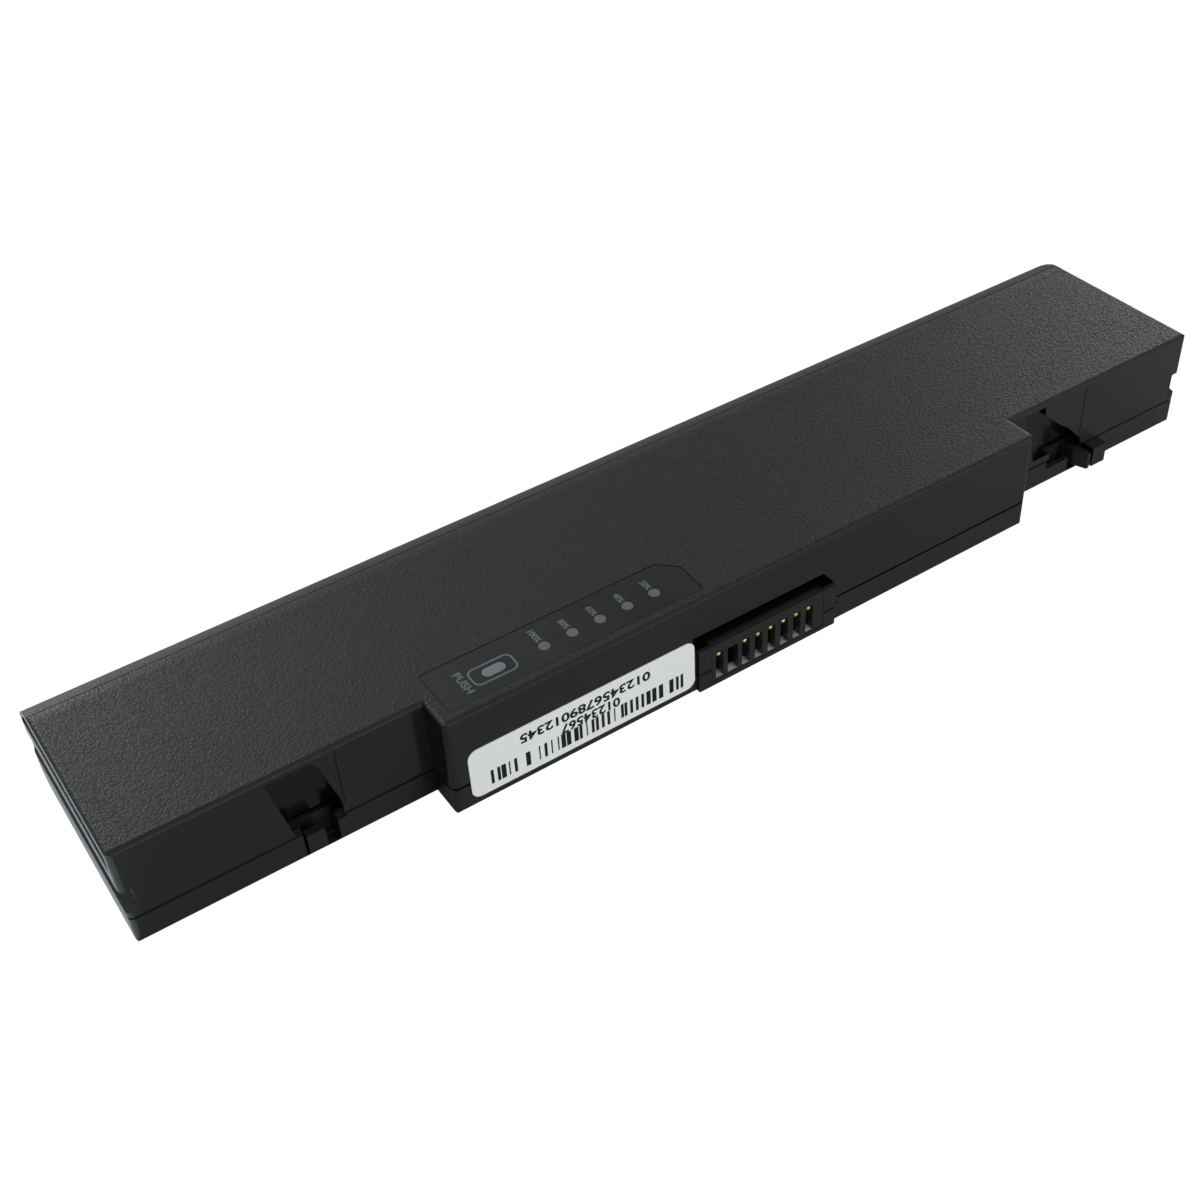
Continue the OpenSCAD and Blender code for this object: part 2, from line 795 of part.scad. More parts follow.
module gauge_film() {
    color(film_black) to_frame() difference() {
        along_z(film_floor_z, film_top_z) film_outline(0);
        translate([key_x, key_y, film_floor_z - cut]) linear_extrude(film_t + 2 * cut)
            oval(key_l + 2 * key_fit, key_w + 2 * key_fit);
        for (i = [0:light_count - 1])
            translate([light_x0 + i * light_pitch, light_y, film_floor_z - cut])
            cylinder(d = light_d + 2 * light_fit, h = film_t + 2 * cut);
    }
}

module gauge_button() {
    flange_z = lid_z - key_flange_gap - key_flange_t;
    stem_z = board_top_z + switch_h + plunger_out;
    color(print_grey) to_frame() translate([key_x, key_y, 0]) {
        along_z(flange_z + key_flange_t - bond, key_top_z) oval(key_l, key_w);
        along_z(flange_z, flange_z + key_flange_t)
            oval(key_l + 2 * key_flange, key_w + 2 * key_flange);
        translate([0, 0, stem_z]) cylinder(d = stem_d, h = flange_z - stem_z + bond);
    }
}

module light_guide() {
    x0 = light_x0 - guide_end;
    x1 = light_x0 + (light_count - 1) * light_pitch + guide_end;
    bar_z = board_top_z + led_h + guide_led_gap;
    color(light_grey) to_frame() {
        block([x0, light_y - guide_bar_w / 2, bar_z], [x1, light_y + guide_bar_w / 2, bar_z + guide_bar_t]);
        block([x0 - guide_foot_l, light_y - guide_bar_w / 2, board_top_z],
            [x0 + bond, light_y + guide_bar_w / 2, bar_z + guide_bar_t]);
        block([x1 - bond, light_y - guide_bar_w / 2, board_top_z],
            [x1 + guide_foot_l, light_y + guide_bar_w / 2, bar_z + guide_bar_t]);
        for (i = [0:light_count - 1])
            translate([light_x0 + i * light_pitch, light_y, bar_z])
            cylinder(d = light_d, h = film_top_z - guide_tip_drop - bar_z);
    }
}

module front_label() {
    x0 = wide_x0 + label_inset;
    color(label_white) to_frame() along_y(-label_t, 0)
        rounded_rect(x0, label_z, x0 + label_l, label_z + label_h, label_r);
}

// Centre of a slot, counted from 1
function slot_x(i) = slot_x0 + (i - 1) * slot_pitch;

module connector_housing() {
    color(part_black) to_frame() difference() {
        union() {
            block([housing_x0, -lip_out, housing_z], [housing_x1, stand_y1 - housing_fit, housing_top_z]);
            block([housing_x0, stand_y0, housing_z], [housing_x1, stand_y1 - housing_fit, board_z]);
        }
        for (i = [1:slot_count]) {
            w = i == key_slot ? key_slot_w : slot_w;
            block([slot_x(i) - w / 2, -lip_out - cut, slot_floor_z],
                [slot_x(i) + w / 2, slot_depth - lip_out, slot_top_z]);
        }
        // Channels for the contact bases and tails
        for (i = [1:slot_count]) if (i != key_slot) {
            w = contact_w / 2 + tongue_fit;
            x0 = slot_x(i) - w;
            x1 = slot_x(i) + w;
            y1 = tail_y + contact_t + channel_fit;
            z0 = contact_base_z - channel_fit;
            block([x0, channel_y, z0], [x1, y1, contact_base_z + contact_t + channel_fit]);
            block([x0, tail_y - channel_fit, z0], [x1, y1, board_z + cut]);
        }
    }
}

// One contact: a curled tip on a sloping arm, a base and a tail through the board
module contact(i) {
    tip_y = contact_tip_back - lip_out;
    dy = arm_foot_y - tip_y;
    dz = contact_tip_z - contact_base_z - contact_t / 2;
    color(contact_gold) to_frame() translate([slot_x(i), 0, 0]) {
        along_x(-contact_tip_w / 2, contact_tip_w / 2)
            translate([tip_y, contact_tip_z]) circle(contact_tip_r);
        along_x(-contact_w / 2, contact_w / 2) union() {
            translate([arm_foot_y, contact_base_z + contact_t / 2])
                rotate(atan2(dz, -dy))
                translate([0, -contact_t / 2])
                square([norm([dy, dz]), contact_t]);
            translate([arm_foot_y - contact_t / 2, contact_base_z])
                square([tail_y + contact_t - arm_foot_y + contact_t / 2, contact_t]);
            translate([tail_y, contact_base_z]) square([contact_t, board_top_z - contact_base_z]);
        }
    }
}

// The contact of that number: the blank key slot has none
module contact_number(n) {
    contact(n < key_slot ? n : n + 1);
}

module circuit_board() {
    color(board_green) to_frame() difference() {
        block([board_x0, board_y0, board_z], [board_x1, board_y1, board_top_z]);
        for (i = [1:slot_count]) if (i != key_slot)
            translate([slot_x(i), tail_y + contact_t / 2, board_z - cut])
            cylinder(d = tail_hole_d, h = board_t + 2 * cut);
    }
}

module tact_switch() {
    h = switch_h;
    color(part_silver) to_frame() translate([key_x, key_y, board_top_z]) difference() {
        translate([-switch_w / 2, -switch_w / 2, 0]) cube([switch_w, switch_w, h]);
        translate([0, 0, h - plunger_in - key_travel - plunger_fit])
            cylinder(d = plunger_d + 2 * plunger_fit, h = h);
    }
}

module switch_plunger() {
    z = board_top_z + switch_h - plunger_in;
    color(part_black) to_frame() translate([key_x, key_y, z])
        cylinder(d = plunger_d, h = plunger_in + plunger_out);
}

module gauge_led(i) {
    x = light_x0 + (i - 1) * light_pitch;
    half = led_w / 2;
    color(label_white) to_frame()
        block([x - half, light_y - half, board_top_z], [x + half, light_y + half, board_top_z + led_h]);
}

// A component under the board, given its centre from the board's left end
module under_board(from_left, size) {
    x = board_x0 + from_left;
    y = (board_y0 + board_y1) / 2;
    block([x - size[0] / 2, y - size[1] / 2, board_z - size[2]], [x + size[0] / 2, y + size[1] / 2, board_z]);
}

module gauge_chip() {
    color(part_black) to_frame() under_board(gauge_chip_x, gauge_chip_size);
}

module power_switch_chip(n) {
    color(part_black) to_frame() under_board(power_chip_x + n * power_chip_pitch, power_chip_size);
}

module sense_resistor() {
    color(part_black) to_frame() under_board(resistor_x, resistor_size);
}

// Stands on the board near its rear edge, close to the cells
module thermistor() {
    size = thermistor_size;
    x = board_x1 - thermistor_x;
    y = board_y1 - thermistor_y;
    color(part_black) to_frame()
        block([x - size[0] / 2, y - size[1] / 2, board_top_z],
            [x + size[0] / 2, y + size[1] / 2, board_top_z + size[2]]);
}

// One cell in a column and row: can, rolled groove, shoulder and positive button
module cell(column, row) {
    r = cell_d / 2;
    y = row == 0 ? front_row_y : rear_row_y;
    shoulder = cell_l - cell_button_h;
    bead_floor = shoulder - bead_top - bead_slope;
    color(sleeve_blue) to_frame()
        translate([pack_x0 + column * column_pitch, y, cell_z])
        rotate([0, 90, 0])
        rotate_extrude() polygon([
            [0, 0],
            [r, 0],
            [r, bead_floor - bead_w - bead_slope],
            [r - bead_depth, bead_floor - bead_w],
            [r - bead_depth, bead_floor],
            [r, shoulder - bead_top],
            [r, shoulder],
            [cell_button_d / 2, shoulder],
            [cell_button_d / 2, cell_l],
            [0, cell_l]
        ]);
}

// A nickel plate over the ends of both cells of a column
module strip_plate(x) {
    block([x, lead_y, cell_z - strip_h / 2],
        [x + nickel_t, rear_row_y + cell_d / 2 - strip_margin, cell_z + strip_h / 2]);
}

// A lead along the front of the cells, with a tab on the board
module lead(x0, x1, z, tab_x, tab_z) {
    block([x0, lead_y, z], [x1, lead_y + nickel_t, z + lead_h]);
    block([tab_x - tab_l / 2, board_y1 - tab_reach, tab_z],
        [tab_x + tab_l / 2, lead_y + nickel_t, tab_z + nickel_t]);
}

// A riser from a plate's front edge up or down to its lead
module riser(x0, z0, z1) {
    block([x0, lead_y, min(z0, z1)], [x0 + tab_l, lead_y + nickel_t, max(z0, z1)]);
}

module end_strip_left() {
    x = pack_x0 - nickel_t;
    color(part_silver) to_frame() {
        strip_plate(x);
        riser(x, cell_z - strip_h / 2, upper_lead_z + lead_h);
        lead(x, board_x0 + tab_l, upper_lead_z, board_x0 + tab_l / 2, upper_lead_z);
    }
}

module end_strip_right() {
    x = -pack_x0;
    tab_x = board_x1 - tab_l / 2;
    color(part_silver) to_frame() {
        strip_plate(x);
        riser(x + nickel_t - tab_l, cell_z - strip_h / 2, upper_lead_z + lead_h);
        lead(tab_x - tab_l / 2, x + nickel_t, upper_lead_z, tab_x, upper_lead_z);
    }
}

// A folded strip between two columns: two plates joined at their front edges
module folded_strip(column) {
    x0 = pack_x0 + column * column_pitch - cell_end_gap;
    x1 = x0 + cell_end_gap;
    strip_plate(x0);
    strip_plate(x1 - nickel_t);
    block([x0, lead_y, cell_z - strip_h / 2], [x1, lead_y + nickel_t, cell_z + strip_h / 2]);
}

module middle_strip_left() {
    x = pack_x0 + column_pitch - cell_end_gap;
    color(part_silver) to_frame() {
        folded_strip(1);
        riser(x, cell_z, upper_lead_z + nickel_t);
        lead(x, x + tab_l, upper_lead_z - lead_h, x + tab_l / 2, upper_lead_z);
    }
}

module middle_strip_right() {
    x = pack_x0 + 2 * column_pitch;
    tab_x = board_x1 - tab_l / 2;
    color(part_silver) to_frame() {
        folded_strip(2);
        riser(x - tab_l, lower_lead_z, cell_z);
        lead(tab_x - tab_l / 2, x, lower_lead_z, tab_x, board_z - nickel_t);
    }
}

module thermal_fuse() {
    x = (board_x1 + wide_x1) / 2 + fuse_l;
    color(part_black) to_frame()
        block([x - fuse_l / 2, lead_y - fuse_t, upper_lead_z - fuse_drop],
            [x + fuse_l / 2, lead_y, upper_lead_z - fuse_drop + fuse_h]);
}

module insulating_paper() {
    y0 = lead_y + nickel_t + paper_fit;
    slot_x = pack_x0 + column_pitch - cell_end_gap / 2;
    color(paper_grey) to_frame() difference() {
        block([board_x0, y0, wall + paper_margin], [board_x1, y0 + paper_t, lid_z - paper_margin]);
        block([slot_x - cell_end_gap, y0 - cut, cell_z - strip_h / 2 - paper_slot_fit],
            [slot_x + cell_end_gap, y0 + paper_t + cut, cell_z + strip_h / 2 + paper_slot_fit]);
    }
}

top_cover();
bottom_cover();
gauge_film();
gauge_button();
light_guide();
front_label();
connector_housing();
contact_number(1);  // contact_1
contact_number(2);  // contact_2
contact_number(3);  // contact_3
contact_number(4);  // contact_4
contact_number(5);  // contact_5
contact_number(6);  // contact_6
contact_number(7);  // contact_7
circuit_board();
tact_switch();
switch_plunger();
gauge_led(1);  // gauge_led_1
gauge_led(2);  // gauge_led_2
gauge_led(3);  // gauge_led_3
gauge_led(4);  // gauge_led_4
gauge_led(5);  // gauge_led_5
gauge_chip();
power_switch_chip(1);  // power_switch_chip_1
power_switch_chip(2);  // power_switch_chip_2
sense_resistor();
thermistor();
thermal_fuse();
insulating_paper();
cell(0, 0);  // cell_1
cell(1, 0);  // cell_2
cell(2, 0);  // cell_3
cell(0, 1);  // cell_4
cell(1, 1);  // cell_5
cell(2, 1);  // cell_6
end_strip_left();
middle_strip_left();
middle_strip_right();
end_strip_right();
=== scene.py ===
"""Dresses the laptop battery pack: grained covers, printed gauge, label, gilt contacts and a studio."""
import math

import bmesh
import bpy
from mathutils import Matrix, Vector


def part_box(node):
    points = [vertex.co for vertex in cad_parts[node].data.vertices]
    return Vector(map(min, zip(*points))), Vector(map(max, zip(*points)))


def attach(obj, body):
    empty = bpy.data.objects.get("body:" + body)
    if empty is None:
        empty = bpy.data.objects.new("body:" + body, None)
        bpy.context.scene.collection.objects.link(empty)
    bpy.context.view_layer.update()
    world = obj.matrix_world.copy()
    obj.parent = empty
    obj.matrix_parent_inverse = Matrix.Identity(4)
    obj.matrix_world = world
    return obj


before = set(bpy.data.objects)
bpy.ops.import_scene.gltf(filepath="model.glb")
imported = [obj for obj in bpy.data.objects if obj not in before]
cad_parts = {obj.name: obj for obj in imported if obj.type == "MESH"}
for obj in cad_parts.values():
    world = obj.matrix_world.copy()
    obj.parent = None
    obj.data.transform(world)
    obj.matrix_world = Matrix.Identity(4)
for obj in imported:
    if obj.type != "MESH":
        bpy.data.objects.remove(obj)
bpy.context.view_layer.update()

bl_info = {
    "name": "Laptop battery pack",
    "version": (1, 0, 0),
    "blender": (4, 5, 0),
    "location": "View3D > Sidebar > Battery",
    "description": "Finishes and small printed pieces of a laptop battery pack",
    "category": "Object",
}

MM = 0.001
FLOAT = "NodeSocketFloat"

# Corners of the CAD nodes by which print and colours are placed
FILM_LOW, FILM_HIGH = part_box("gauge_film")
LABEL_LOW, LABEL_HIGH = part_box("front_label")
BUTTON_LOW, BUTTON_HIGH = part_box("gauge_button")
HOUSING_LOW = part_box("connector_housing")[0]

# Lights of the gauge, in millimetres from the film's left front corner, and the levels behind them
LIGHT_FIRST = 19.9
LIGHT_PITCH = 5.4
LIGHT_BACK = 4.0
LEVELS = (100, 80, 60, 40, 20)

# Print: how far ink stands up, how much letters are thickened, and gaps round the button and the lights
INK_HEIGHT = 0.015 * MM
BOLD = 0.03
RING_SHIFT = 0.15 * MM
WORD_LENGTH = 5.2 * MM
WORD_GAP = 2.1 * MM
WORD_SHIFT = 0.1 * MM
FIGURE_LENGTH = 0.8 * MM
FIGURE_GAP = 1.3 * MM
FIGURE_MIDDLE = 0.55

# Bars of the label: place of the first one, random shift, and random width in shares of their pitch
BARS_RIGHT = 3.9 * MM
BARS_RISE = 3.0 * MM
BAR_SHIFT = 0.25 * MM
BAR_EXTRA = 0.8
BAR_STEP = 0.27
BAR_THINNEST = 0.22
BARS_KEPT = 0.92

# Rows on the label: name, figures, start as a share of the width, then length, rise and height in mm
FIGURE_ROWS = (
    ("label_figures_long", "0123456789012345", 0.794, 25.5, 9.0, 2.1),
    ("label_figures_short", "01234567", 0.654, 11.7, 6.55, 2.1),
)

# Places on the covers: boxes have two corners in millimetres, the first value being a distance from X = 0
STYLE_GROOVE_Y = 16.575 * MM
STYLE_GROOVE_WIDTH = 0.2 * MM
LATCH_POCKETS = ((66, -18.1, 5.7), (108, -10, 19.4))
END_GROOVES = ((109.6, -19, 6.75), (111.9, 26, 11.75))
RECESS = ((-1, -24.5, 9), (19, -10, 13))
SEAM = ((19, -24.7, 5.32), (64.9, -24, 5.85))
# The covers are painted near-black in these hollows, as painted shade
HOLLOWS = (LATCH_POCKETS, END_GROOVES, RECESS, SEAM)
POLISHED_CORNER = ((59, -18.3, 0), (68.3, -18, 19.6))

# Places on the connector
SLOT_FLOOR_RISE = 0.55 * MM
SLOT_FLOOR_MARGIN = 0.3 * MM
GAP_LINE_RISE = 0.3 * MM
SLOT_FIRST_X = -7.5 * MM
SLOT_PITCH = 2.8 * MM

# Colours and one optical value that no panel sets
# Painted shade that fills the latch pockets, end grooves, recess and seam of the covers
HOLLOW_PAINTED_SHADE = (0.003, 0.0032, 0.0032)
# Painted shade for the gap line under the connector and the depths of its slots
CONNECTOR_PAINTED_SHADE = (0.002, 0.002, 0.002)
DUST = (0.1, 0.1, 0.095)
PLASTIC_IOR = 1.46


class GaugePrint(bpy.types.PropertyGroup):
    """Sizes and colours of the print on the gauge film"""

    ring_length: bpy.props.FloatProperty(
        name="Ring length", description="Length of the ring round the button",
        default=8.2 * MM, unit="LENGTH", precision=5)
    ring_width: bpy.props.FloatProperty(
        name="Ring width", description="Width of the ring round the button",
        default=4.2 * MM, unit="LENGTH", precision=5)
    ring_line: bpy.props.FloatProperty(
        name="Ring line", description="Width of the ring's line",
        default=0.36 * MM, unit="LENGTH", precision=5)
    ring_radius: bpy.props.FloatProperty(
        name="Ring corner", description="Outer corner radius of the ring",
        default=1.3 * MM, unit="LENGTH", precision=5)
    word_height: bpy.props.FloatProperty(
        name="Word height", description="Height of the word beside the button",
        default=1.45 * MM, unit="LENGTH", precision=5)
    mark_height: bpy.props.FloatProperty(
        name="Mark height", description="Height of the figures behind the lights",
        default=1.2 * MM, unit="LENGTH", precision=5)
    ink: bpy.props.FloatVectorProperty(
        name="Ink", description="Colour of the print", subtype="COLOR", size=3, min=0, max=1,
        default=(0.16, 0.19, 0.2))


class LabelPrint(bpy.types.PropertyGroup):
    """Sizes and colours of the print on the front label"""

    bars: bpy.props.IntProperty(
        name="Bars", description="Number of upright bars", default=34, min=2, max=60)
    span: bpy.props.FloatProperty(
        name="Span", description="Length of the row of bars",
        default=38.8 * MM, unit="LENGTH", precision=5)
    bar_height: bpy.props.FloatProperty(
        name="Bar height", description="Height of a bar",
        default=3.1 * MM, unit="LENGTH", precision=5)
    tilt: bpy.props.FloatProperty(
        name="Tilt", description="Turn of the row of bars on the label",
        default=math.radians(0.3), subtype="ANGLE")
    seed: bpy.props.IntProperty(
        name="Seed", description="Seed of the bars' widths", default=154)
    paper: bpy.props.FloatVectorProperty(
        name="Paper", description="Colour of the label", subtype="COLOR", size=3, min=0, max=1,
        default=(0.78, 0.79, 0.78))
    ink: bpy.props.FloatVectorProperty(
        name="Ink", description="Colour of the bars and figures", subtype="COLOR", size=3,
        min=0, max=1, default=(0.006, 0.0065, 0.014))


class CaseFinish(bpy.types.PropertyGroup):
    """Colours and grain of the two covers"""

    top: bpy.props.FloatVectorProperty(
        name="Top face", description="Colour of the grained top face", subtype="COLOR", size=3,
        min=0, max=1, default=(0.021, 0.023, 0.0225))
    sides: bpy.props.FloatVectorProperty(
        name="Side faces", description="Colour of the smooth side faces", subtype="COLOR", size=3,
        min=0, max=1, default=(0.009, 0.0095, 0.0095))
    grain: bpy.props.FloatProperty(
        name="Grain size", description="Width of one pebble of the grain",
        default=0.42 * MM, unit="LENGTH", precision=5)
    grain_depth: bpy.props.FloatProperty(
        name="Grain depth", description="Depth of the grain",
        default=0.033 * MM, unit="LENGTH", precision=6)


class Studio(bpy.types.PropertyGroup):
    """Camera, floor and lights"""

    camera_place: bpy.props.FloatVectorProperty(
        name="Camera", description="Place of the camera", subtype="TRANSLATION", size=3,
        default=(-0.12963, -0.18987, 0.19952))
    camera_forward: bpy.props.FloatVectorProperty(
        name="Forward", description="Direction in which the camera looks", subtype="XYZ", size=3,
        default=(0.38802, 0.64481, -0.65853))
    camera_right: bpy.props.FloatVectorProperty(
        name="Right", description="Direction of the picture's right side", subtype="XYZ", size=3,
        default=(0.83173, -0.55281, -0.05123))
    lens: bpy.props.FloatProperty(
        name="Lens", description="Focal length of the camera", default=49.26, min=10, max=200)
    floor: bpy.props.FloatVectorProperty(
        name="Floor", description="Colour that the floor lights the pack with", subtype="COLOR",
        size=3, min=0, max=1, default=(0.55, 0.55, 0.55))
    floor_glow: bpy.props.FloatProperty(
        name="Floor white", description="Share of plain white in what the camera sees of the floor",
        default=0.95, min=0, max=1, subtype="FACTOR")
    ambient: bpy.props.FloatProperty(
        name="Room light", description="Strength of the even light from all round", default=0.0, min=0)


SETTINGS = {
    "battery_gauge": GaugePrint,
    "battery_label": LabelPrint,
    "battery_case": CaseFinish,
    "battery_studio": Studio,
}


# Node helpers
def new_node(tree, kind, inputs=None, **values):
    """Adds a node and sets its properties and its unlinked inputs."""
    node = tree.nodes.new(kind)
    for key, value in values.items():
        setattr(node, key, value)
    for key, value in (inputs or {}).items():
        if isinstance(value, bpy.types.NodeSocket):
            tree.links.new(value, node.inputs[key])
        else:
            node.inputs[key].default_value = value
    return node


def math_node(tree, operation, a, b=0.0):
    """The result of a sum on two numbers or sockets."""
    return new_node(tree, "ShaderNodeMath", {0: a, 1: b}, operation=operation).outputs[0]


def span_node(tree, value, low, high, to_low=0.0, to_high=1.0):
    """Maps a value from one span to another, clamped."""
    inputs = {"Value": value, "From Min": low, "From Max": high, "To Min": to_low, "To Max": to_high}
    return new_node(tree, "ShaderNodeMapRange", inputs).outputs["Result"]


def mixed_colour(tree, mask, a, b):
    """The colour between a and b that the mask picks."""
    node = new_node(tree, "ShaderNodeMix", data_type="RGBA")
    for socket, value in zip((node.inputs[0], node.inputs[6], node.inputs[7]), (mask, a, b)):
        if isinstance(value, bpy.types.NodeSocket):
            tree.links.new(value, socket)
        else:
            socket.default_value = (*value, 1.0) if len(value) == 3 else value
    return node.outputs[2]


def mixed_value(tree, mask, a, b):
    """The number between a and b that the mask picks."""
    return new_node(tree, "ShaderNodeMix", {0: mask, 2: a, 3: b}).outputs[0]


def object_place(tree):
    """The place of a surface point in its object's own coordinates."""
    return new_node(tree, "ShaderNodeTexCoord").outputs["Object"]


def split(tree, vector):
    """The outputs X, Y and Z of a vector."""
    return new_node(tree, "ShaderNodeSeparateXYZ", {0: vector}).outputs


def surface_normal(tree):
    """The outputs X, Y and Z of the surface's own normal."""
    return split(tree, new_node(tree, "ShaderNodeNewGeometry").outputs["Normal"])


def noise_node(tree, place, size, detail):
    """Soft noise whose features have about a size."""
    inputs = {"Vector": place, "Scale": 1 / size, "Detail": detail}
    return new_node(tree, "ShaderNodeTexNoise", inputs).outputs["Fac"]


def new_group(name, inputs, outputs):
    """An empty shader group with named inputs and outputs, and its two end nodes."""
    tree = bpy.data.node_groups.new(name, "ShaderNodeTree")
    for label, kind, default in inputs:
        socket = tree.interface.new_socket(label, in_out="INPUT", socket_type=kind)
        socket.default_value = default
    for label, kind in outputs:
        tree.interface.new_socket(label, in_out="OUTPUT", socket_type=kind)
    return tree, tree.nodes.new("NodeGroupInput"), tree.nodes.new("NodeGroupOutput")


def grain_group():
    """Pebbled leather grain of a mould: height and a mask of the pebbles' crowns."""
    inputs = [("Pebble", FLOAT, 0.55 * MM), ("Roughening", FLOAT, 0.35)]
    tree, source, sink = new_group("Leather grain", inputs, [("Height", FLOAT), ("Crowns", FLOAT)])
    place = object_place(tree)
    scale = math_node(tree, "DIVIDE", 1.0, source.outputs["Pebble"])
    fine_scale = math_node(tree, "MULTIPLY", scale, 2.3)
    warp = new_node(tree, "ShaderNodeTexNoise", {"Vector": place, "Scale": scale, "Detail": 2.0})
    drift = new_node(tree, "ShaderNodeVectorMath", {0: warp.outputs["Color"], "Scale": 0.35 * MM},
                     operation="SCALE").outputs[0]
    bent = new_node(tree, "ShaderNodeVectorMath", {0: place, 1: drift}, operation="ADD").outputs[0]
    cells = new_node(tree, "ShaderNodeTexVoronoi", {"Vector": bent, "Scale": scale},
                     feature="SMOOTH_F1")
    fine = new_node(tree, "ShaderNodeTexNoise", {"Vector": place, "Scale": fine_scale, "Detail": 3.0})
    crowns = span_node(tree, cells.outputs["Distance"], 0.1, 0.62, 1.0, 0.0)
    rough = math_node(tree, "MULTIPLY", fine.outputs["Fac"], source.outputs["Roughening"])
    tree.links.new(math_node(tree, "ADD", crowns, rough), sink.inputs["Height"])
    tree.links.new(crowns, sink.inputs["Crowns"])
    return tree


def cloud_group():
    """Slow unevenness of a moulded or handled surface, and fine specks of dust."""
    inputs = [("Patch", FLOAT, 14 * MM), ("Speck", FLOAT, 1.6 * MM), ("Specks", FLOAT, 0.5)]
    tree, source, sink = new_group("Surface clouds", inputs, [("Cloud", FLOAT), ("Dust", FLOAT)])
    place = object_place(tree)
    slow_scale = math_node(tree, "DIVIDE", 1.0, source.outputs["Patch"])
    slow = new_node(tree, "ShaderNodeTexNoise", {"Vector": place, "Scale": slow_scale, "Detail": 4.0})
    speck_scale = math_node(tree, "DIVIDE", 1.0, source.outputs["Speck"])
    speck = new_node(tree, "ShaderNodeTexVoronoi", {"Vector": place, "Scale": speck_scale})
    dot = span_node(tree, speck.outputs["Distance"], 0.02, 0.07, 1.0, 0.0)
    chance = new_node(tree, "ShaderNodeSeparateColor", {"Color": speck.outputs["Color"]}).outputs[0]
    share = math_node(tree, "MULTIPLY", source.outputs["Specks"], 0.2)
    rare = math_node(tree, "LESS_THAN", chance, share)
    tree.links.new(span_node(tree, slow.outputs["Fac"], 0.3, 0.7), sink.inputs["Cloud"])
    tree.links.new(math_node(tree, "MULTIPLY", dot, rare), sink.inputs["Dust"])
    return tree


GROUPS = {"Leather grain": grain_group, "Surface clouds": cloud_group}


def placed_group(tree, name, **values):
    """A group node with its values set, built once and shared."""
    node = tree.nodes.new("ShaderNodeGroup")
    node.node_tree = bpy.data.node_groups.get(name) or GROUPS[name]()
    for key, value in values.items():
        node.inputs[key].default_value = value
    return node


def new_material(name, **values):
    """A material with one Principled BSDF, and its values set on the shader's own sockets."""
    material = bpy.data.materials.new(name)
    material.use_nodes = True
    shader = material.node_tree.nodes["Principled BSDF"]
    for key, value in values.items():
        shader.inputs[key.replace("_", " ")].default_value = value
    return material, material.node_tree, shader


def bump(tree, shader, height, depth):
    """Feeds a height to the shader's normal through a Bump node."""
    node = new_node(tree, "ShaderNodeBump", {"Height": height, "Distance": depth})
    tree.links.new(node.outputs["Normal"], shader.inputs["Normal"])


def tinted(tree, shader, mask, low, high):
    """Feeds the colour between two colours to the shader."""
    tree.links.new(mixed_colour(tree, mask, low, high), shader.inputs["Base Color"])


def roughened(tree, shader, noise, low, high, depth):
    """Lets noise set the roughness between two values and raise the surface by up to a depth."""
    tree.links.new(span_node(tree, noise, 0.3, 0.7, low, high), shader.inputs["Roughness"])
    bump(tree, shader, noise, depth)


def inside(tree, value, low, high):
    """1 where a value lies between two bounds."""
    above = math_node(tree, "GREATER_THAN", value, low)
    return math_node(tree, "MULTIPLY", above, math_node(tree, "LESS_THAN", value, high))


def box_mask(tree, spot, low, high):
    """1 inside a box, given as the boxes at the top of this file, else 0."""
    axes = (math_node(tree, "ABSOLUTE", spot["X"]), spot["Y"], spot["Z"])
    x, y, z = (inside(tree, axes[k], low[k] * MM, high[k] * MM) for k in range(3))
    return math_node(tree, "MULTIPLY", math_node(tree, "MULTIPLY", x, y), z)


def hollow_mask(tree, spot):
    """1 in the latch pockets, the end grooves, the recess above the connector and the seam, where the
    covers get painted shade, else 0.
    """
    mask = box_mask(tree, spot, *HOLLOWS[0])
    for low, high in HOLLOWS[1:]:
        mask = math_node(tree, "MAXIMUM", mask, box_mask(tree, spot, low, high))
    return mask


def cover_colour(tree, clouds, crown, top_share, top, sides):
    """The sides' colour and the top's, painted paler on the crowns of the grain as a painted highlight,
    with a little dust.
    """
    top_colour = mixed_colour(tree, clouds["Cloud"], tuple(c * 0.86 for c in top), top)
    # Painted highlight: the grain's crowns are painted paler, standing in for glints on the pebbles' tops
    crown_highlight_share = math_node(tree, "MULTIPLY", crown, 0.3)
    crown_highlight_top = mixed_colour(tree, crown_highlight_share, top_colour, tuple(min(1, c * 2.0) for c in top))
    return mixed_colour(tree, clouds["Dust"], mixed_colour(tree, top_share, sides, crown_highlight_top), DUST)


def cover_roughness(tree, spot, clouds, crown, facing, top_share, hollow):
    """Satin sides, matt top and edges, polished hollows and inner corner, matt end grooves."""
    satin = span_node(tree, clouds["Cloud"], 0.0, 1.0, 0.27, 0.33)
    matt = span_node(tree, crown, 0.0, 1.0, 0.6, 0.32)
    edge = math_node(tree, "SUBTRACT", facing, top_share)
    rough = mixed_value(tree, facing, satin, mixed_value(tree, edge, matt, 0.8))
    glossy = math_node(tree, "MAXIMUM", hollow, box_mask(tree, spot, *POLISHED_CORNER))
    polished = mixed_value(tree, glossy, rough, 0.15)
    return mixed_value(tree, box_mask(tree, spot, *END_GROOVES), polished, 0.6)


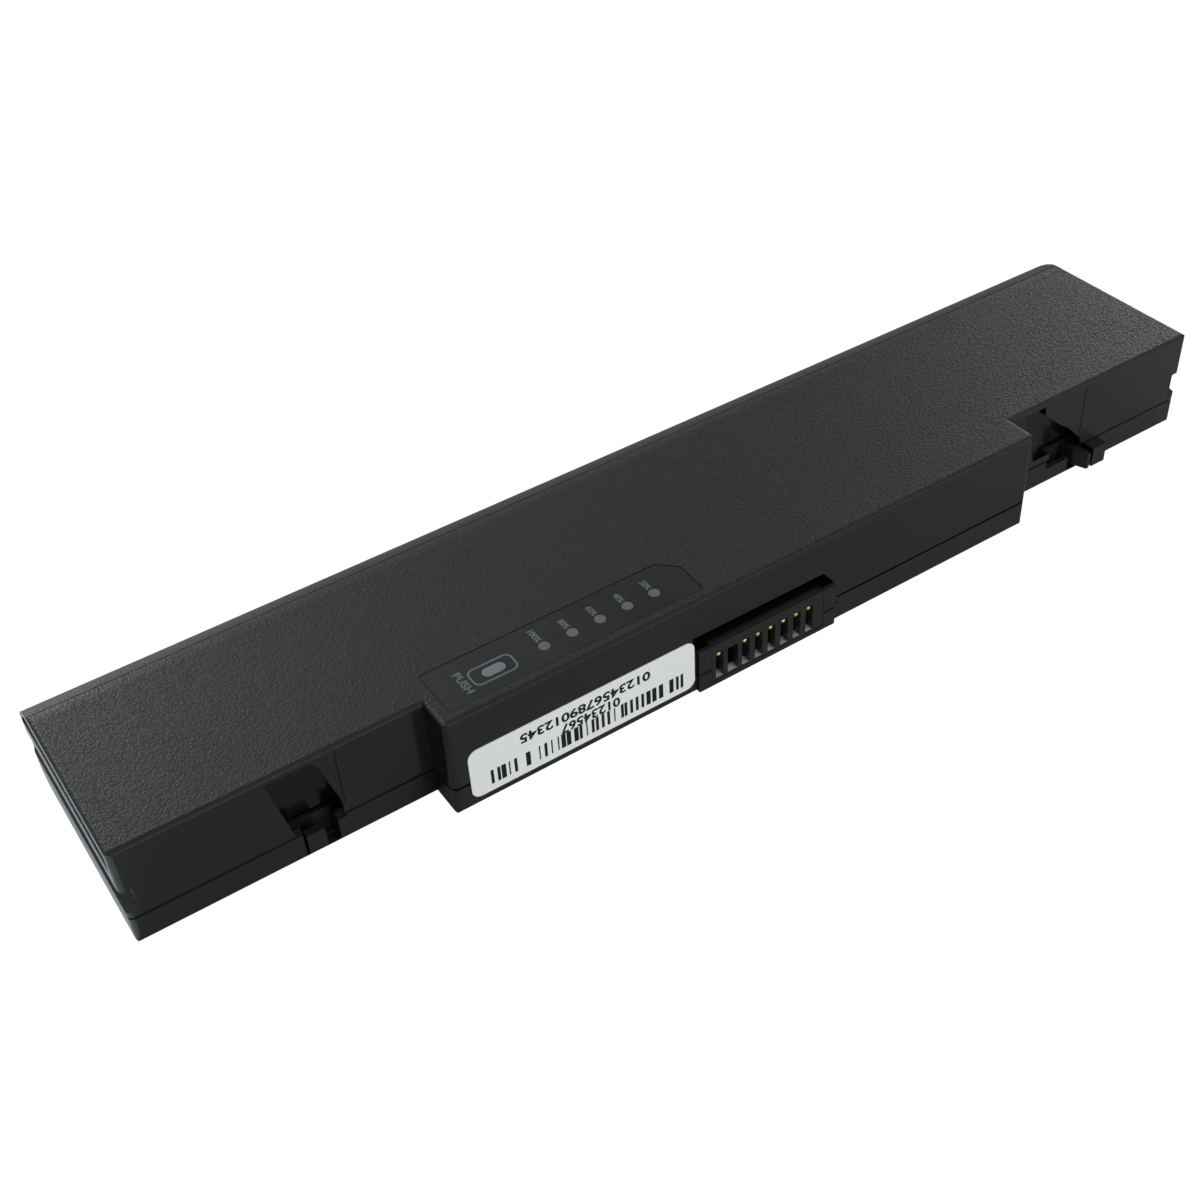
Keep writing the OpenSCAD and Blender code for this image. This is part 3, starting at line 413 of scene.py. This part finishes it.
def cover_material(name, top, sides, grain, depth):
    """Black moulded plastic: pebbled where it faces up, satin on its sides, with painted shade in its
    hollows.
    """
    material, tree, shader = new_material(name, IOR=PLASTIC_IOR)
    grained = placed_group(tree, "Leather grain", Pebble=grain).outputs
    clouds = placed_group(tree, "Surface clouds").outputs
    spot = split(tree, object_place(tree))
    normal = surface_normal(tree)
    facing = span_node(tree, normal["Z"], 0.2, 0.45)
    # An edge that turns to the front takes the sides' colour, one that turns to the rear the top's
    tipped = math_node(tree, "ADD", normal["Z"], math_node(tree, "MULTIPLY", normal["Y"], 0.8))
    top_share = span_node(tree, tipped, 0.5, 0.95)
    # The rounded band behind the styling groove is moulded smoother
    groove_back = STYLE_GROOVE_Y + STYLE_GROOVE_WIDTH
    front_part = span_node(tree, spot["Y"], STYLE_GROOVE_Y, groove_back, 1.0, 0.35)
    hollow = hollow_mask(tree, spot)
    open_face = math_node(tree, "SUBTRACT", 1.0, hollow)
    grain_share = math_node(tree, "MULTIPLY", math_node(tree, "MULTIPLY", facing, front_part), open_face)
    crown = math_node(tree, "MULTIPLY", grained["Crowns"], grain_share)
    # Painted shade: the hollows take a near-black colour
    tinted(tree, shader, hollow, cover_colour(tree, clouds, crown, top_share, top, sides), HOLLOW_PAINTED_SHADE)
    rough = cover_roughness(tree, spot, clouds, crown, facing, top_share, hollow)
    tree.links.new(rough, shader.inputs["Roughness"])
    relief = span_node(tree, grain_share, 0.0, 1.0, 0.05, 1.0)
    bump(tree, shader, math_node(tree, "MULTIPLY", grained["Height"], relief), depth)
    return material


def plastic_material(name, colour, roughness, patch=9 * MM, ior=PLASTIC_IOR, fine=0.0):
    """Smooth moulded plastic with a slow unevenness and, where asked, a fine texture."""
    material, tree, shader = new_material(name, IOR=ior)
    cloud = placed_group(tree, "Surface clouds", Patch=patch).outputs["Cloud"]
    tinted(tree, shader, cloud, tuple(c * 0.88 for c in colour), colour)
    rough = span_node(tree, cloud, 0.0, 1.0, roughness, roughness * 1.25)
    tree.links.new(rough, shader.inputs["Roughness"])
    if fine:
        bump(tree, shader, noise_node(tree, object_place(tree), 0.2 * MM, 2.0), fine)
    return material


def slotted_material():
    """Connector plastic: satin face; matt slot floors and rib sides, painted pale near the mouth as painted
    light and black deeper in as painted shade; and a painted shadow line along the gap at its foot.
    """
    material, tree, shader = new_material("connector plastic", IOR=PLASTIC_IOR)
    cloud = placed_group(tree, "Surface clouds", Patch=6 * MM).outputs["Cloud"]
    place = object_place(tree)
    spot = split(tree, place)
    floor_top = HOUSING_LOW.z + SLOT_FLOOR_RISE + SLOT_FLOOR_MARGIN
    looks_up = math_node(tree, "GREATER_THAN", surface_normal(tree)["Z"], 0.8)
    floor = math_node(tree, "MULTIPLY", looks_up, math_node(tree, "LESS_THAN", spot["Z"], floor_top))

    def behind_face(first, last):
        """0 to 1 between two depths behind the face, in millimetres."""
        return span_node(tree, spot["Y"], HOUSING_LOW.y + first * MM, HOUSING_LOW.y + last * MM)

    face = mixed_colour(tree, cloud, (0.0085, 0.009, 0.009), (0.0105, 0.011, 0.011))
    # Painted light and shade in the slots: the walls are paler near the mouth and black deeper in, and the
    # floors, which face up, are painted pale near the mouth as a painted highlight and black behind as
    # painted shade
    wall_light_and_shade = mixed_colour(tree, behind_face(0.7, 1.9), (0.03, 0.032, 0.031), (0.001, 0.001, 0.001))
    sill_light_and_shade = mixed_colour(tree, behind_face(1.5, 1.9), (0.42, 0.43, 0.42), CONNECTOR_PAINTED_SHADE)
    in_slot = mixed_colour(tree, floor, wall_light_and_shade, sill_light_and_shade)
    housing = mixed_colour(tree, behind_face(0.02, 0.06), face, in_slot)
    # Painted shadow: a black band along the foot of the housing stands for the shade in the gap below it
    line = math_node(tree, "LESS_THAN", spot["Z"], HOUSING_LOW.z + GAP_LINE_RISE)
    tinted(tree, shader, line, housing, CONNECTOR_PAINTED_SHADE)
    tree.links.new(span_node(tree, floor, 0.0, 1.0, 0.34, 0.6), shader.inputs["Roughness"])
    bump(tree, shader, noise_node(tree, place, 0.2 * MM, 2.0), 0.004 * MM)
    return material


def metal_material(name, colour, roughness):
    """Plain metal with fine drawing lines along X."""
    material, tree, shader = new_material(name, Metallic=1.0)
    lines = {"Vector": object_place(tree), "Scale": (0.05, 1, 1)}
    drawn = new_node(tree, "ShaderNodeMapping", lines).outputs[0]
    noise = noise_node(tree, drawn, 0.15 * MM, 3.0)
    tinted(tree, shader, noise, tuple(c * 0.8 for c in colour), colour)
    roughened(tree, shader, noise, roughness, roughness * 1.5, 0.004 * MM)
    return material


def gilt_material():
    """Gold plate with a painted highlight along the middle of each contact and painted shade to each side.
    """
    material, tree, shader = new_material("gilt contact", Metallic=0.7)
    place = object_place(tree)
    from_first = math_node(tree, "SUBTRACT", split(tree, place)["X"], SLOT_FIRST_X)
    aside = math_node(tree, "PINGPONG", from_first, SLOT_PITCH / 2)
    # Painted highlight: bright gold along each contact's middle, with dark painted shade to each side
    contact_highlight = span_node(tree, aside, 0.12 * MM, 0.3 * MM, 1.0, 0.0)
    noise = noise_node(tree, place, 0.25 * MM, 3.0)
    highlight_gold = mixed_colour(tree, noise, (0.9, 0.62, 0.2), (1, 0.78, 0.36))
    tinted(tree, shader, contact_highlight, (0.16, 0.1, 0.035), highlight_gold)
    roughened(tree, shader, noise, 0.28, 0.4, 0.003 * MM)
    return material


def light_tip_material():
    """Frosted clear resin that shows warm grey where the light tips stand in the dark film."""
    material, tree, shader = new_material("light tip resin", IOR=1.49)
    noise = noise_node(tree, object_place(tree), 0.5 * MM, 3.0)
    tinted(tree, shader, noise, (0.13, 0.128, 0.12), (0.22, 0.216, 0.204))
    roughened(tree, shader, noise, 0.3, 0.42, 0.01 * MM)
    return material


def paper_material(name, colour):
    """Coated label paper with faint fibres."""
    material, tree, shader = new_material(name, IOR=1.45)
    fibres = noise_node(tree, object_place(tree), 0.4 * MM, 5.0)
    tinted(tree, shader, fibres, tuple(c * 0.95 for c in colour), colour)
    roughened(tree, shader, fibres, 0.42, 0.52, 0.004 * MM)
    return material


def dress(names, material):
    """Gives CAD nodes a material."""
    for name in names:
        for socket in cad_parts[name].material_slots:
            socket.material = material


def nodes_named(start):
    """CAD nodes whose name starts with a word."""
    return sorted(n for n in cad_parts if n.startswith(start))


# Mesh helpers
def add_piece(name, mesh, material):
    """Links a finished mesh as a piece that rides on the pack."""
    piece = bpy.data.objects.new(name, mesh)
    mesh.materials.clear()
    mesh.materials.append(material)
    bpy.context.scene.collection.objects.link(piece)
    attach(piece, "pack")


def rounded_outline(length, width, radius, steps=8):
    """Points of a rectangle with round corners, centred, turning left."""
    points = []
    for turn, (sx, sy) in enumerate(((1, 1), (-1, 1), (-1, -1), (1, -1))):
        centre = Vector((sx * (length / 2 - radius), sy * (width / 2 - radius)))
        for step in range(steps + 1):
            angle = math.pi / 2 * (turn + step / steps)
            points.append(centre + radius * Vector((math.cos(angle), math.sin(angle))))
    return points


def ring_mesh(name, length, width, radius, line):
    """A band of print in the shape of a rounded rectangle, centred on the origin."""
    shape = bmesh.new()
    outer = rounded_outline(length, width, radius)
    inner = rounded_outline(length - 2 * line, width - 2 * line, radius - line)
    edges = [(loop, z) for loop in (outer, inner) for z in (0, INK_HEIGHT)]
    loops = [[shape.verts.new((p.x, p.y, z)) for p in loop] for loop, z in edges]
    count = len(outer)
    for a, b in ((0, 1), (1, 3), (3, 2), (2, 0)):
        for i in range(count):
            j = (i + 1) % count
            shape.faces.new((loops[a][i], loops[a][j], loops[b][j], loops[b][i]))
    bmesh.ops.recalc_face_normals(shape, faces=shape.faces)
    mesh = bpy.data.meshes.new(name)
    shape.to_mesh(mesh)
    shape.free()
    return mesh


def lettering_mesh(name, words, length, height, place):
    """Raised print: words fitted to a length and a height, then set in place by a matrix.

    The words run along X from 0 and stand up along Y from 0 before they are placed.
    """
    curve = bpy.data.curves.new(name, "FONT")
    curve.body = words
    curve.extrude = 0.5
    curve.offset = BOLD
    curve.resolution_u = 3
    carrier = bpy.data.objects.new(name, curve)
    bpy.context.scene.collection.objects.link(carrier)
    bpy.context.view_layer.update()
    mesh = bpy.data.meshes.new_from_object(carrier)
    bpy.data.objects.remove(carrier)
    bpy.data.curves.remove(curve)
    corners = [v.co for v in mesh.vertices]
    low = Vector(min(c[k] for c in corners) for k in range(3))
    high = Vector(max(c[k] for c in corners) for k in range(3))
    size = high - low
    fit = Matrix.Diagonal((length / size.x, height / size.y, INK_HEIGHT / size.z, 1))
    mesh.transform(place @ fit @ Matrix.Translation(-low))
    mesh.name = name
    return mesh


def on_film(along, back):
    """A point on top of the film, from its left front corner."""
    return Vector((FILM_LOW.x + along * MM, FILM_LOW.y + back * MM, FILM_HIGH.z))


def button_centre():
    """The middle of the push button, on top of the film."""
    middle = (BUTTON_LOW + BUTTON_HIGH) / 2
    return Vector((middle.x, middle.y, FILM_HIGH.z))


def bar_tree():
    """Geometry nodes for a row of upright bars of uneven width."""
    tree = bpy.data.node_groups.new("Uneven bars", "GeometryNodeTree")
    sockets = (("Span", FLOAT), ("Bars", "NodeSocketInt"), ("Height", FLOAT), ("Thickness", FLOAT),
               ("Seed", "NodeSocketInt"), ("Ink", "NodeSocketMaterial"))
    for label, kind in sockets:
        tree.interface.new_socket(label, in_out="INPUT", socket_type=kind)
    tree.interface.new_socket("Geometry", in_out="OUTPUT", socket_type="NodeSocketGeometry")
    source = tree.nodes.new("NodeGroupInput").outputs
    sink = tree.nodes.new("NodeGroupOutput")
    seed = source["Seed"]

    # Points at an even pitch, each moved a little along the row
    pitch = math_node(tree, "DIVIDE", source["Span"], source["Bars"])
    step = new_node(tree, "ShaderNodeCombineXYZ", {"X": pitch}).outputs[0]
    row = new_node(tree, "GeometryNodeMeshLine", {"Count": source["Bars"], "Offset": step}).outputs[0]
    reach = {0: (-BAR_SHIFT, 0, 0), 1: (BAR_SHIFT, 0, 0), "Seed": seed}
    shift = new_node(tree, "FunctionNodeRandomValue", reach, data_type="FLOAT_VECTOR").outputs[0]
    points = new_node(tree, "GeometryNodeSetPosition", {"Geometry": row, "Offset": shift}).outputs[0]

    # A bar as wide as the pitch, narrowed at each point to one of a few widths
    sides = {"X": pitch, "Y": source["Thickness"], "Z": source["Height"]}
    bar_size = new_node(tree, "ShaderNodeCombineXYZ", sides).outputs[0]
    bar = new_node(tree, "GeometryNodeMeshCube", {"Size": bar_size}).outputs["Mesh"]
    extra = new_node(tree, "FunctionNodeRandomValue", {2: 0.0, 3: BAR_EXTRA, "Seed": seed}).outputs[1]
    width = math_node(tree, "ADD", math_node(tree, "SNAP", extra, BAR_STEP), BAR_THINNEST)
    scale = new_node(tree, "ShaderNodeCombineXYZ", {"X": width, "Y": 1.0, "Z": 1.0}).outputs[0]
    chance = {"Probability": BARS_KEPT, "Seed": seed}
    kept = new_node(tree, "FunctionNodeRandomValue", chance, data_type="BOOLEAN").outputs[3]
    copies = {"Points": points, "Instance": bar, "Scale": scale, "Selection": kept}
    placed = new_node(tree, "GeometryNodeInstanceOnPoints", copies).outputs[0]

    solid = new_node(tree, "GeometryNodeRealizeInstances", {"Geometry": placed}).outputs[0]
    inked = new_node(tree, "GeometryNodeSetMaterial", {"Geometry": solid, "Material": source["Ink"]})
    tree.links.new(inked.outputs["Geometry"], sink.inputs["Geometry"])
    return tree


def baked_nodes(name, tree, values, place):
    """Runs a geometry node tree on an empty mesh and returns the plain mesh, set in place."""
    carrier = bpy.data.objects.new(name, bpy.data.meshes.new(name))
    bpy.context.scene.collection.objects.link(carrier)
    modifier = carrier.modifiers.new(name, "NODES")
    modifier.node_group = tree
    for item in tree.interface.items_tree:
        if item.in_out == "INPUT":
            modifier[item.identifier] = values[item.name]
    evaluated = carrier.evaluated_get(bpy.context.evaluated_depsgraph_get())
    mesh = bpy.data.meshes.new_from_object(evaluated)
    carrier.modifiers.remove(modifier)
    bpy.data.objects.remove(carrier)
    mesh.transform(place)
    return mesh


class BATTERY_OT_case(bpy.types.Operator):
    """Finish the two covers in grained and satin black plastic"""

    bl_idname = "battery.case"
    bl_label = "Finish the case"

    def execute(self, context):
        finish = context.scene.battery_case
        top = cover_material("case top plastic", tuple(finish.top), tuple(finish.sides),
                             finish.grain, finish.grain_depth)
        base = cover_material("case base plastic", tuple(finish.sides), tuple(finish.sides),
                              finish.grain, finish.grain_depth * 0.3)
        dress(["top_cover"], top)
        dress(["bottom_cover"], base)
        return {"FINISHED"}


class BATTERY_OT_gauge(bpy.types.Operator):
    """Finish the gauge: smooth film, button, light tips, printed ring, word and figures"""

    bl_idname = "battery.gauge"
    bl_label = "Finish the charge gauge"

    def execute(self, context):
        p = context.scene.battery_gauge
        film = plastic_material("gauge film", (0.021, 0.0228, 0.0226), 0.38, fine=0.006 * MM)
        ink = plastic_material("gauge ink", tuple(p.ink), 0.42)
        dress(["gauge_film"], film)
        dress(["gauge_button"], plastic_material("button plastic", (0.22, 0.275, 0.295), 0.4))
        dress(["light_guide"], light_tip_material())
        centre = button_centre()
        ring = ring_mesh("gauge_ring", p.ring_length, p.ring_width, p.ring_radius, p.ring_line)
        ring.transform(Matrix.Translation(centre - Vector((RING_SHIFT, 0, 0))))
        add_piece("gauge_ring", ring, ink)
        # Both sorts of print read from the rear to the front, with their tops to the right
        quarter = Matrix.Rotation(-math.pi / 2, 4, "Z")
        to_word = Vector((-p.ring_length / 2 - WORD_GAP, WORD_LENGTH / 2 + WORD_SHIFT, 0))
        place = Matrix.Translation(centre + to_word) @ quarter
        add_piece("push_word", lettering_mesh("push_word", "PUSH", WORD_LENGTH, p.word_height, place),
                  ink)
        for i, level in enumerate(LEVELS):
            name = "level_mark_%d" % level
            figures = "%d%%" % level
            length = FIGURE_LENGTH * len(figures)
            light = on_film(LIGHT_FIRST + i * LIGHT_PITCH, LIGHT_BACK)
            start = light + Vector((-p.mark_height * FIGURE_MIDDLE, FIGURE_GAP + length, 0))
            mesh = lettering_mesh(name, figures, length, p.mark_height,
                                  Matrix.Translation(start) @ quarter)
            add_piece(name, mesh, ink)
        return {"FINISHED"}


class BATTERY_OT_label(bpy.types.Operator):
    """Print the front label with plain bars and plain figures"""

    bl_idname = "battery.label"
    bl_label = "Print the front label"

    def execute(self, context):
        p = context.scene.battery_label
        dress(["front_label"], paper_material("label paper", tuple(p.paper)))
        ink = plastic_material("label ink", tuple(p.ink), 0.5, ior=1.3)
        first = (LABEL_LOW.x + BARS_RIGHT, LABEL_LOW.y - INK_HEIGHT / 2, LABEL_LOW.z + BARS_RISE)
        place = Matrix.Translation(first) @ Matrix.Rotation(p.tilt, 4, "Y")
        values = {"Span": p.span, "Bars": p.bars, "Height": p.bar_height, "Thickness": INK_HEIGHT,
                  "Seed": p.seed, "Ink": ink}
        add_piece("label_bars", baked_nodes("label_bars", bar_tree(), values, place), ink)
        # The figures stand on their heads, because the pack is used the other way up
        turned = Matrix.Rotation(math.pi / 2, 4, "X") @ Matrix.Rotation(math.pi, 4, "Z")
        width = LABEL_HIGH.x - LABEL_LOW.x
        for name, figures, along, length, rise, height in FIGURE_ROWS:
            start = Vector((LABEL_LOW.x + along * width, LABEL_LOW.y, LABEL_LOW.z + rise * MM))
            mesh = lettering_mesh(name, figures, length * MM, height * MM,
                                  Matrix.Translation(start) @ turned)
            add_piece(name, mesh, ink)
        return {"FINISHED"}


class BATTERY_OT_connector(bpy.types.Operator):
    """Finish the slotted connector and its gilt contacts"""

    bl_idname = "battery.connector"
    bl_label = "Finish the connector"

    def execute(self, context):
        dress(["connector_housing"], slotted_material())
        dress(nodes_named("contact_"), gilt_material())
        return {"FINISHED"}


class BATTERY_OT_inside(bpy.types.Operator):
    """Finish the cells, the board and what lies on it"""

    bl_idname = "battery.inside"
    bl_label = "Finish the inner pieces"

    def execute(self, context):
        board = plastic_material("board resist", (0.01, 0.1, 0.035), 0.3, patch=5 * MM, fine=0.01 * MM)
        small_parts = ["switch_plunger", "gauge_chip", "sense_resistor", "thermistor", "thermal_fuse"]
        dress(nodes_named("cell_"), plastic_material("cell sleeve", (0.05, 0.2, 0.36), 0.28, patch=20 * MM))
        dress(["circuit_board"], board)
        dress(nodes_named("end_strip") + nodes_named("middle_strip"),
              metal_material("nickel strip", (0.66, 0.64, 0.6), 0.28))
        dress(["tact_switch"], metal_material("switch shell", (0.7, 0.7, 0.7), 0.25))
        dress(nodes_named("gauge_led"), plastic_material("diode resin", (0.75, 0.75, 0.68), 0.2))
        dress(["insulating_paper"], paper_material("insulating paper", (0.35, 0.42, 0.36)))
        dress(small_parts + nodes_named("power_switch_chip"),
              plastic_material("moulded part", (0.02, 0.02, 0.022), 0.45))
        return {"FINISHED"}


def area_light(name, place, size, power, colour):
    """A square studio light that looks at the pack."""
    data = bpy.data.lights.new(name, "AREA")
    data.size = size
    data.energy = power
    data.color = colour
    light = bpy.data.objects.new(name, data)
    light.location = place
    light.rotation_euler = (-Vector(place)).to_track_quat("-Z", "Y").to_euler()
    bpy.context.scene.collection.objects.link(light)
    return light


# Softboxes: name, place, side, power, colour
LIGHTS = (
    ("front right light", (0.7, -0.95, 0.7), 0.9, 10.7, (0.975, 1, 0.975)),
    ("front low light", (-0.2, -1.25, 0.35), 0.8, 7.6, (0.97, 1, 0.98)),
    ("rear left light", (-0.213, 1.21, 0.86), 0.6, 2.8, (0.97, 0.99, 1)),
    ("rear light", (0.155, 1.104, 1.004), 0.6, 1.1, (0.97, 0.99, 1)),
    ("rear right light", (1.28, 0.36, 0.7), 0.6, 2.4, (0.98, 0.99, 1)),
    ("rear left low light", (-0.38, 1.417, 0.312), 0.5, 11.0, (0.97, 0.99, 1)),
    ("rear low light", (0.689, 1.296, 0.312), 0.5, 0.75, (0.97, 0.99, 1)),
    ("rear right low light", (1.28, 0.74, 0.27), 0.5, 4.1, (0.98, 0.99, 1)),
)
# A glowing card that lies beside the left end and shines up, and shows in the end's wall
CARD = ("left card", (-0.2121, 0.0, 0.0002), 0.2, 0.085, (0.82, 0.93, 1))
FLOOR_REACH = 3.0
FLOOR_DROP = 0.05 * MM


def camera_share(tree, share):
    """A value for camera rays alone, and 0 for the light that falls on the pack."""
    seen = new_node(tree, "ShaderNodeLightPath").outputs["Is Camera Ray"]
    return math_node(tree, "MULTIPLY", seen, share)


def place_camera(scene, p):
    """The camera that sees the pack as the photograph does."""
    data = bpy.data.cameras.new("camera")
    data.lens = p.lens
    data.sensor_width = 36
    data.clip_start = 0.01
    camera = bpy.data.objects.new("camera", data)
    forward = Vector(p.camera_forward).normalized()
    right = Vector(p.camera_right)
    right = (right - forward * right.dot(forward)).normalized()
    turn = Matrix((right, right.cross(forward), -forward)).transposed().to_4x4()
    camera.matrix_world = Matrix.Translation(p.camera_place) @ turn
    scene.collection.objects.link(camera)
    scene.camera = camera


def floor_material(p):
    """Paper that looks white to the camera and lights the pack with its own colour."""
    material, tree, shader = new_material("floor paper", Roughness=0.9, Specular_IOR_Level=0.1)
    shader.inputs["Base Color"].default_value = (*p.floor, 1)
    white = new_node(tree, "ShaderNodeEmission", {"Strength": 1.1}).outputs[0]
    shares = {0: camera_share(tree, p.floor_glow), 1: shader.outputs[0], 2: white}
    seen = new_node(tree, "ShaderNodeMixShader", shares).outputs[0]
    tree.links.new(seen, tree.nodes["Material Output"].inputs["Surface"])
    material.cycles.emission_sampling = "NONE"
    return material


def lay_floor(scene, p):
    """A plain floor just under the pack."""
    shape = bmesh.new()
    bmesh.ops.create_grid(shape, x_segments=1, y_segments=1, size=FLOOR_REACH)
    mesh = bpy.data.meshes.new("floor")
    shape.to_mesh(mesh)
    shape.free()
    mesh.transform(Matrix.Translation((0, 0, -FLOOR_DROP)))
    mesh.materials.append(floor_material(p))
    floor = bpy.data.objects.new("floor", mesh)
    scene.collection.objects.link(floor)


def fill_room(scene, p):
    """A white room for the camera, with an even light from all round where asked."""
    world = bpy.data.worlds.new("studio")
    world.use_nodes = True
    tree = world.node_tree
    tree.nodes["Background"].inputs["Color"].default_value = (1, 1, 1, 1)
    strength = math_node(tree, "ADD", camera_share(tree, 1 - p.ambient), p.ambient)
    tree.links.new(strength, tree.nodes["Background"].inputs["Strength"])
    scene.world = world


class BATTERY_OT_studio(bpy.types.Operator):
    """Set the camera, the pale floor and the soft lights"""

    bl_idname = "battery.studio"
    bl_label = "Set the studio"

    def execute(self, context):
        p = context.scene.battery_studio
        context.scene.view_settings.view_transform = "Standard"
        place_camera(context.scene, p)
        lay_floor(context.scene, p)
        fill_room(context.scene, p)
        for light in LIGHTS:
            area_light(*light)
        area_light(*CARD).rotation_euler = (math.pi, 0, 0)
        return {"FINISHED"}


class BATTERY_PT_panel(bpy.types.Panel):
    """Buttons for each piece, with its sizes and colours"""

    bl_idname = "BATTERY_PT_panel"
    bl_label = "Laptop battery pack"
    bl_space_type = "VIEW_3D"
    bl_region_type = "UI"
    bl_category = "Battery"

    def draw(self, context):
        for operator in OPERATORS:
            self.layout.operator(operator.bl_idname)
        for key, group in SETTINGS.items():
            box = self.layout.box()
            for name in group.__annotations__:
                box.prop(getattr(context.scene, key), name)


OPERATORS = (
    BATTERY_OT_case, BATTERY_OT_gauge, BATTERY_OT_label, BATTERY_OT_connector, BATTERY_OT_inside,
    BATTERY_OT_studio,
)
CLASSES = (*SETTINGS.values(), *OPERATORS, BATTERY_PT_panel)


def register():
    for cls in CLASSES:
        bpy.utils.register_class(cls)
    for key, group in SETTINGS.items():
        setattr(bpy.types.Scene, key, bpy.props.PointerProperty(type=group))


def unregister():
    for key in SETTINGS:
        delattr(bpy.types.Scene, key)
    for cls in reversed(CLASSES):
        bpy.utils.unregister_class(cls)


def main():
    register()
    bpy.ops.battery.studio()
    bpy.ops.battery.case()
    bpy.ops.battery.gauge()
    bpy.ops.battery.label()
    bpy.ops.battery.connector()
    bpy.ops.battery.inside()


if __name__ == "__main__":
    main()
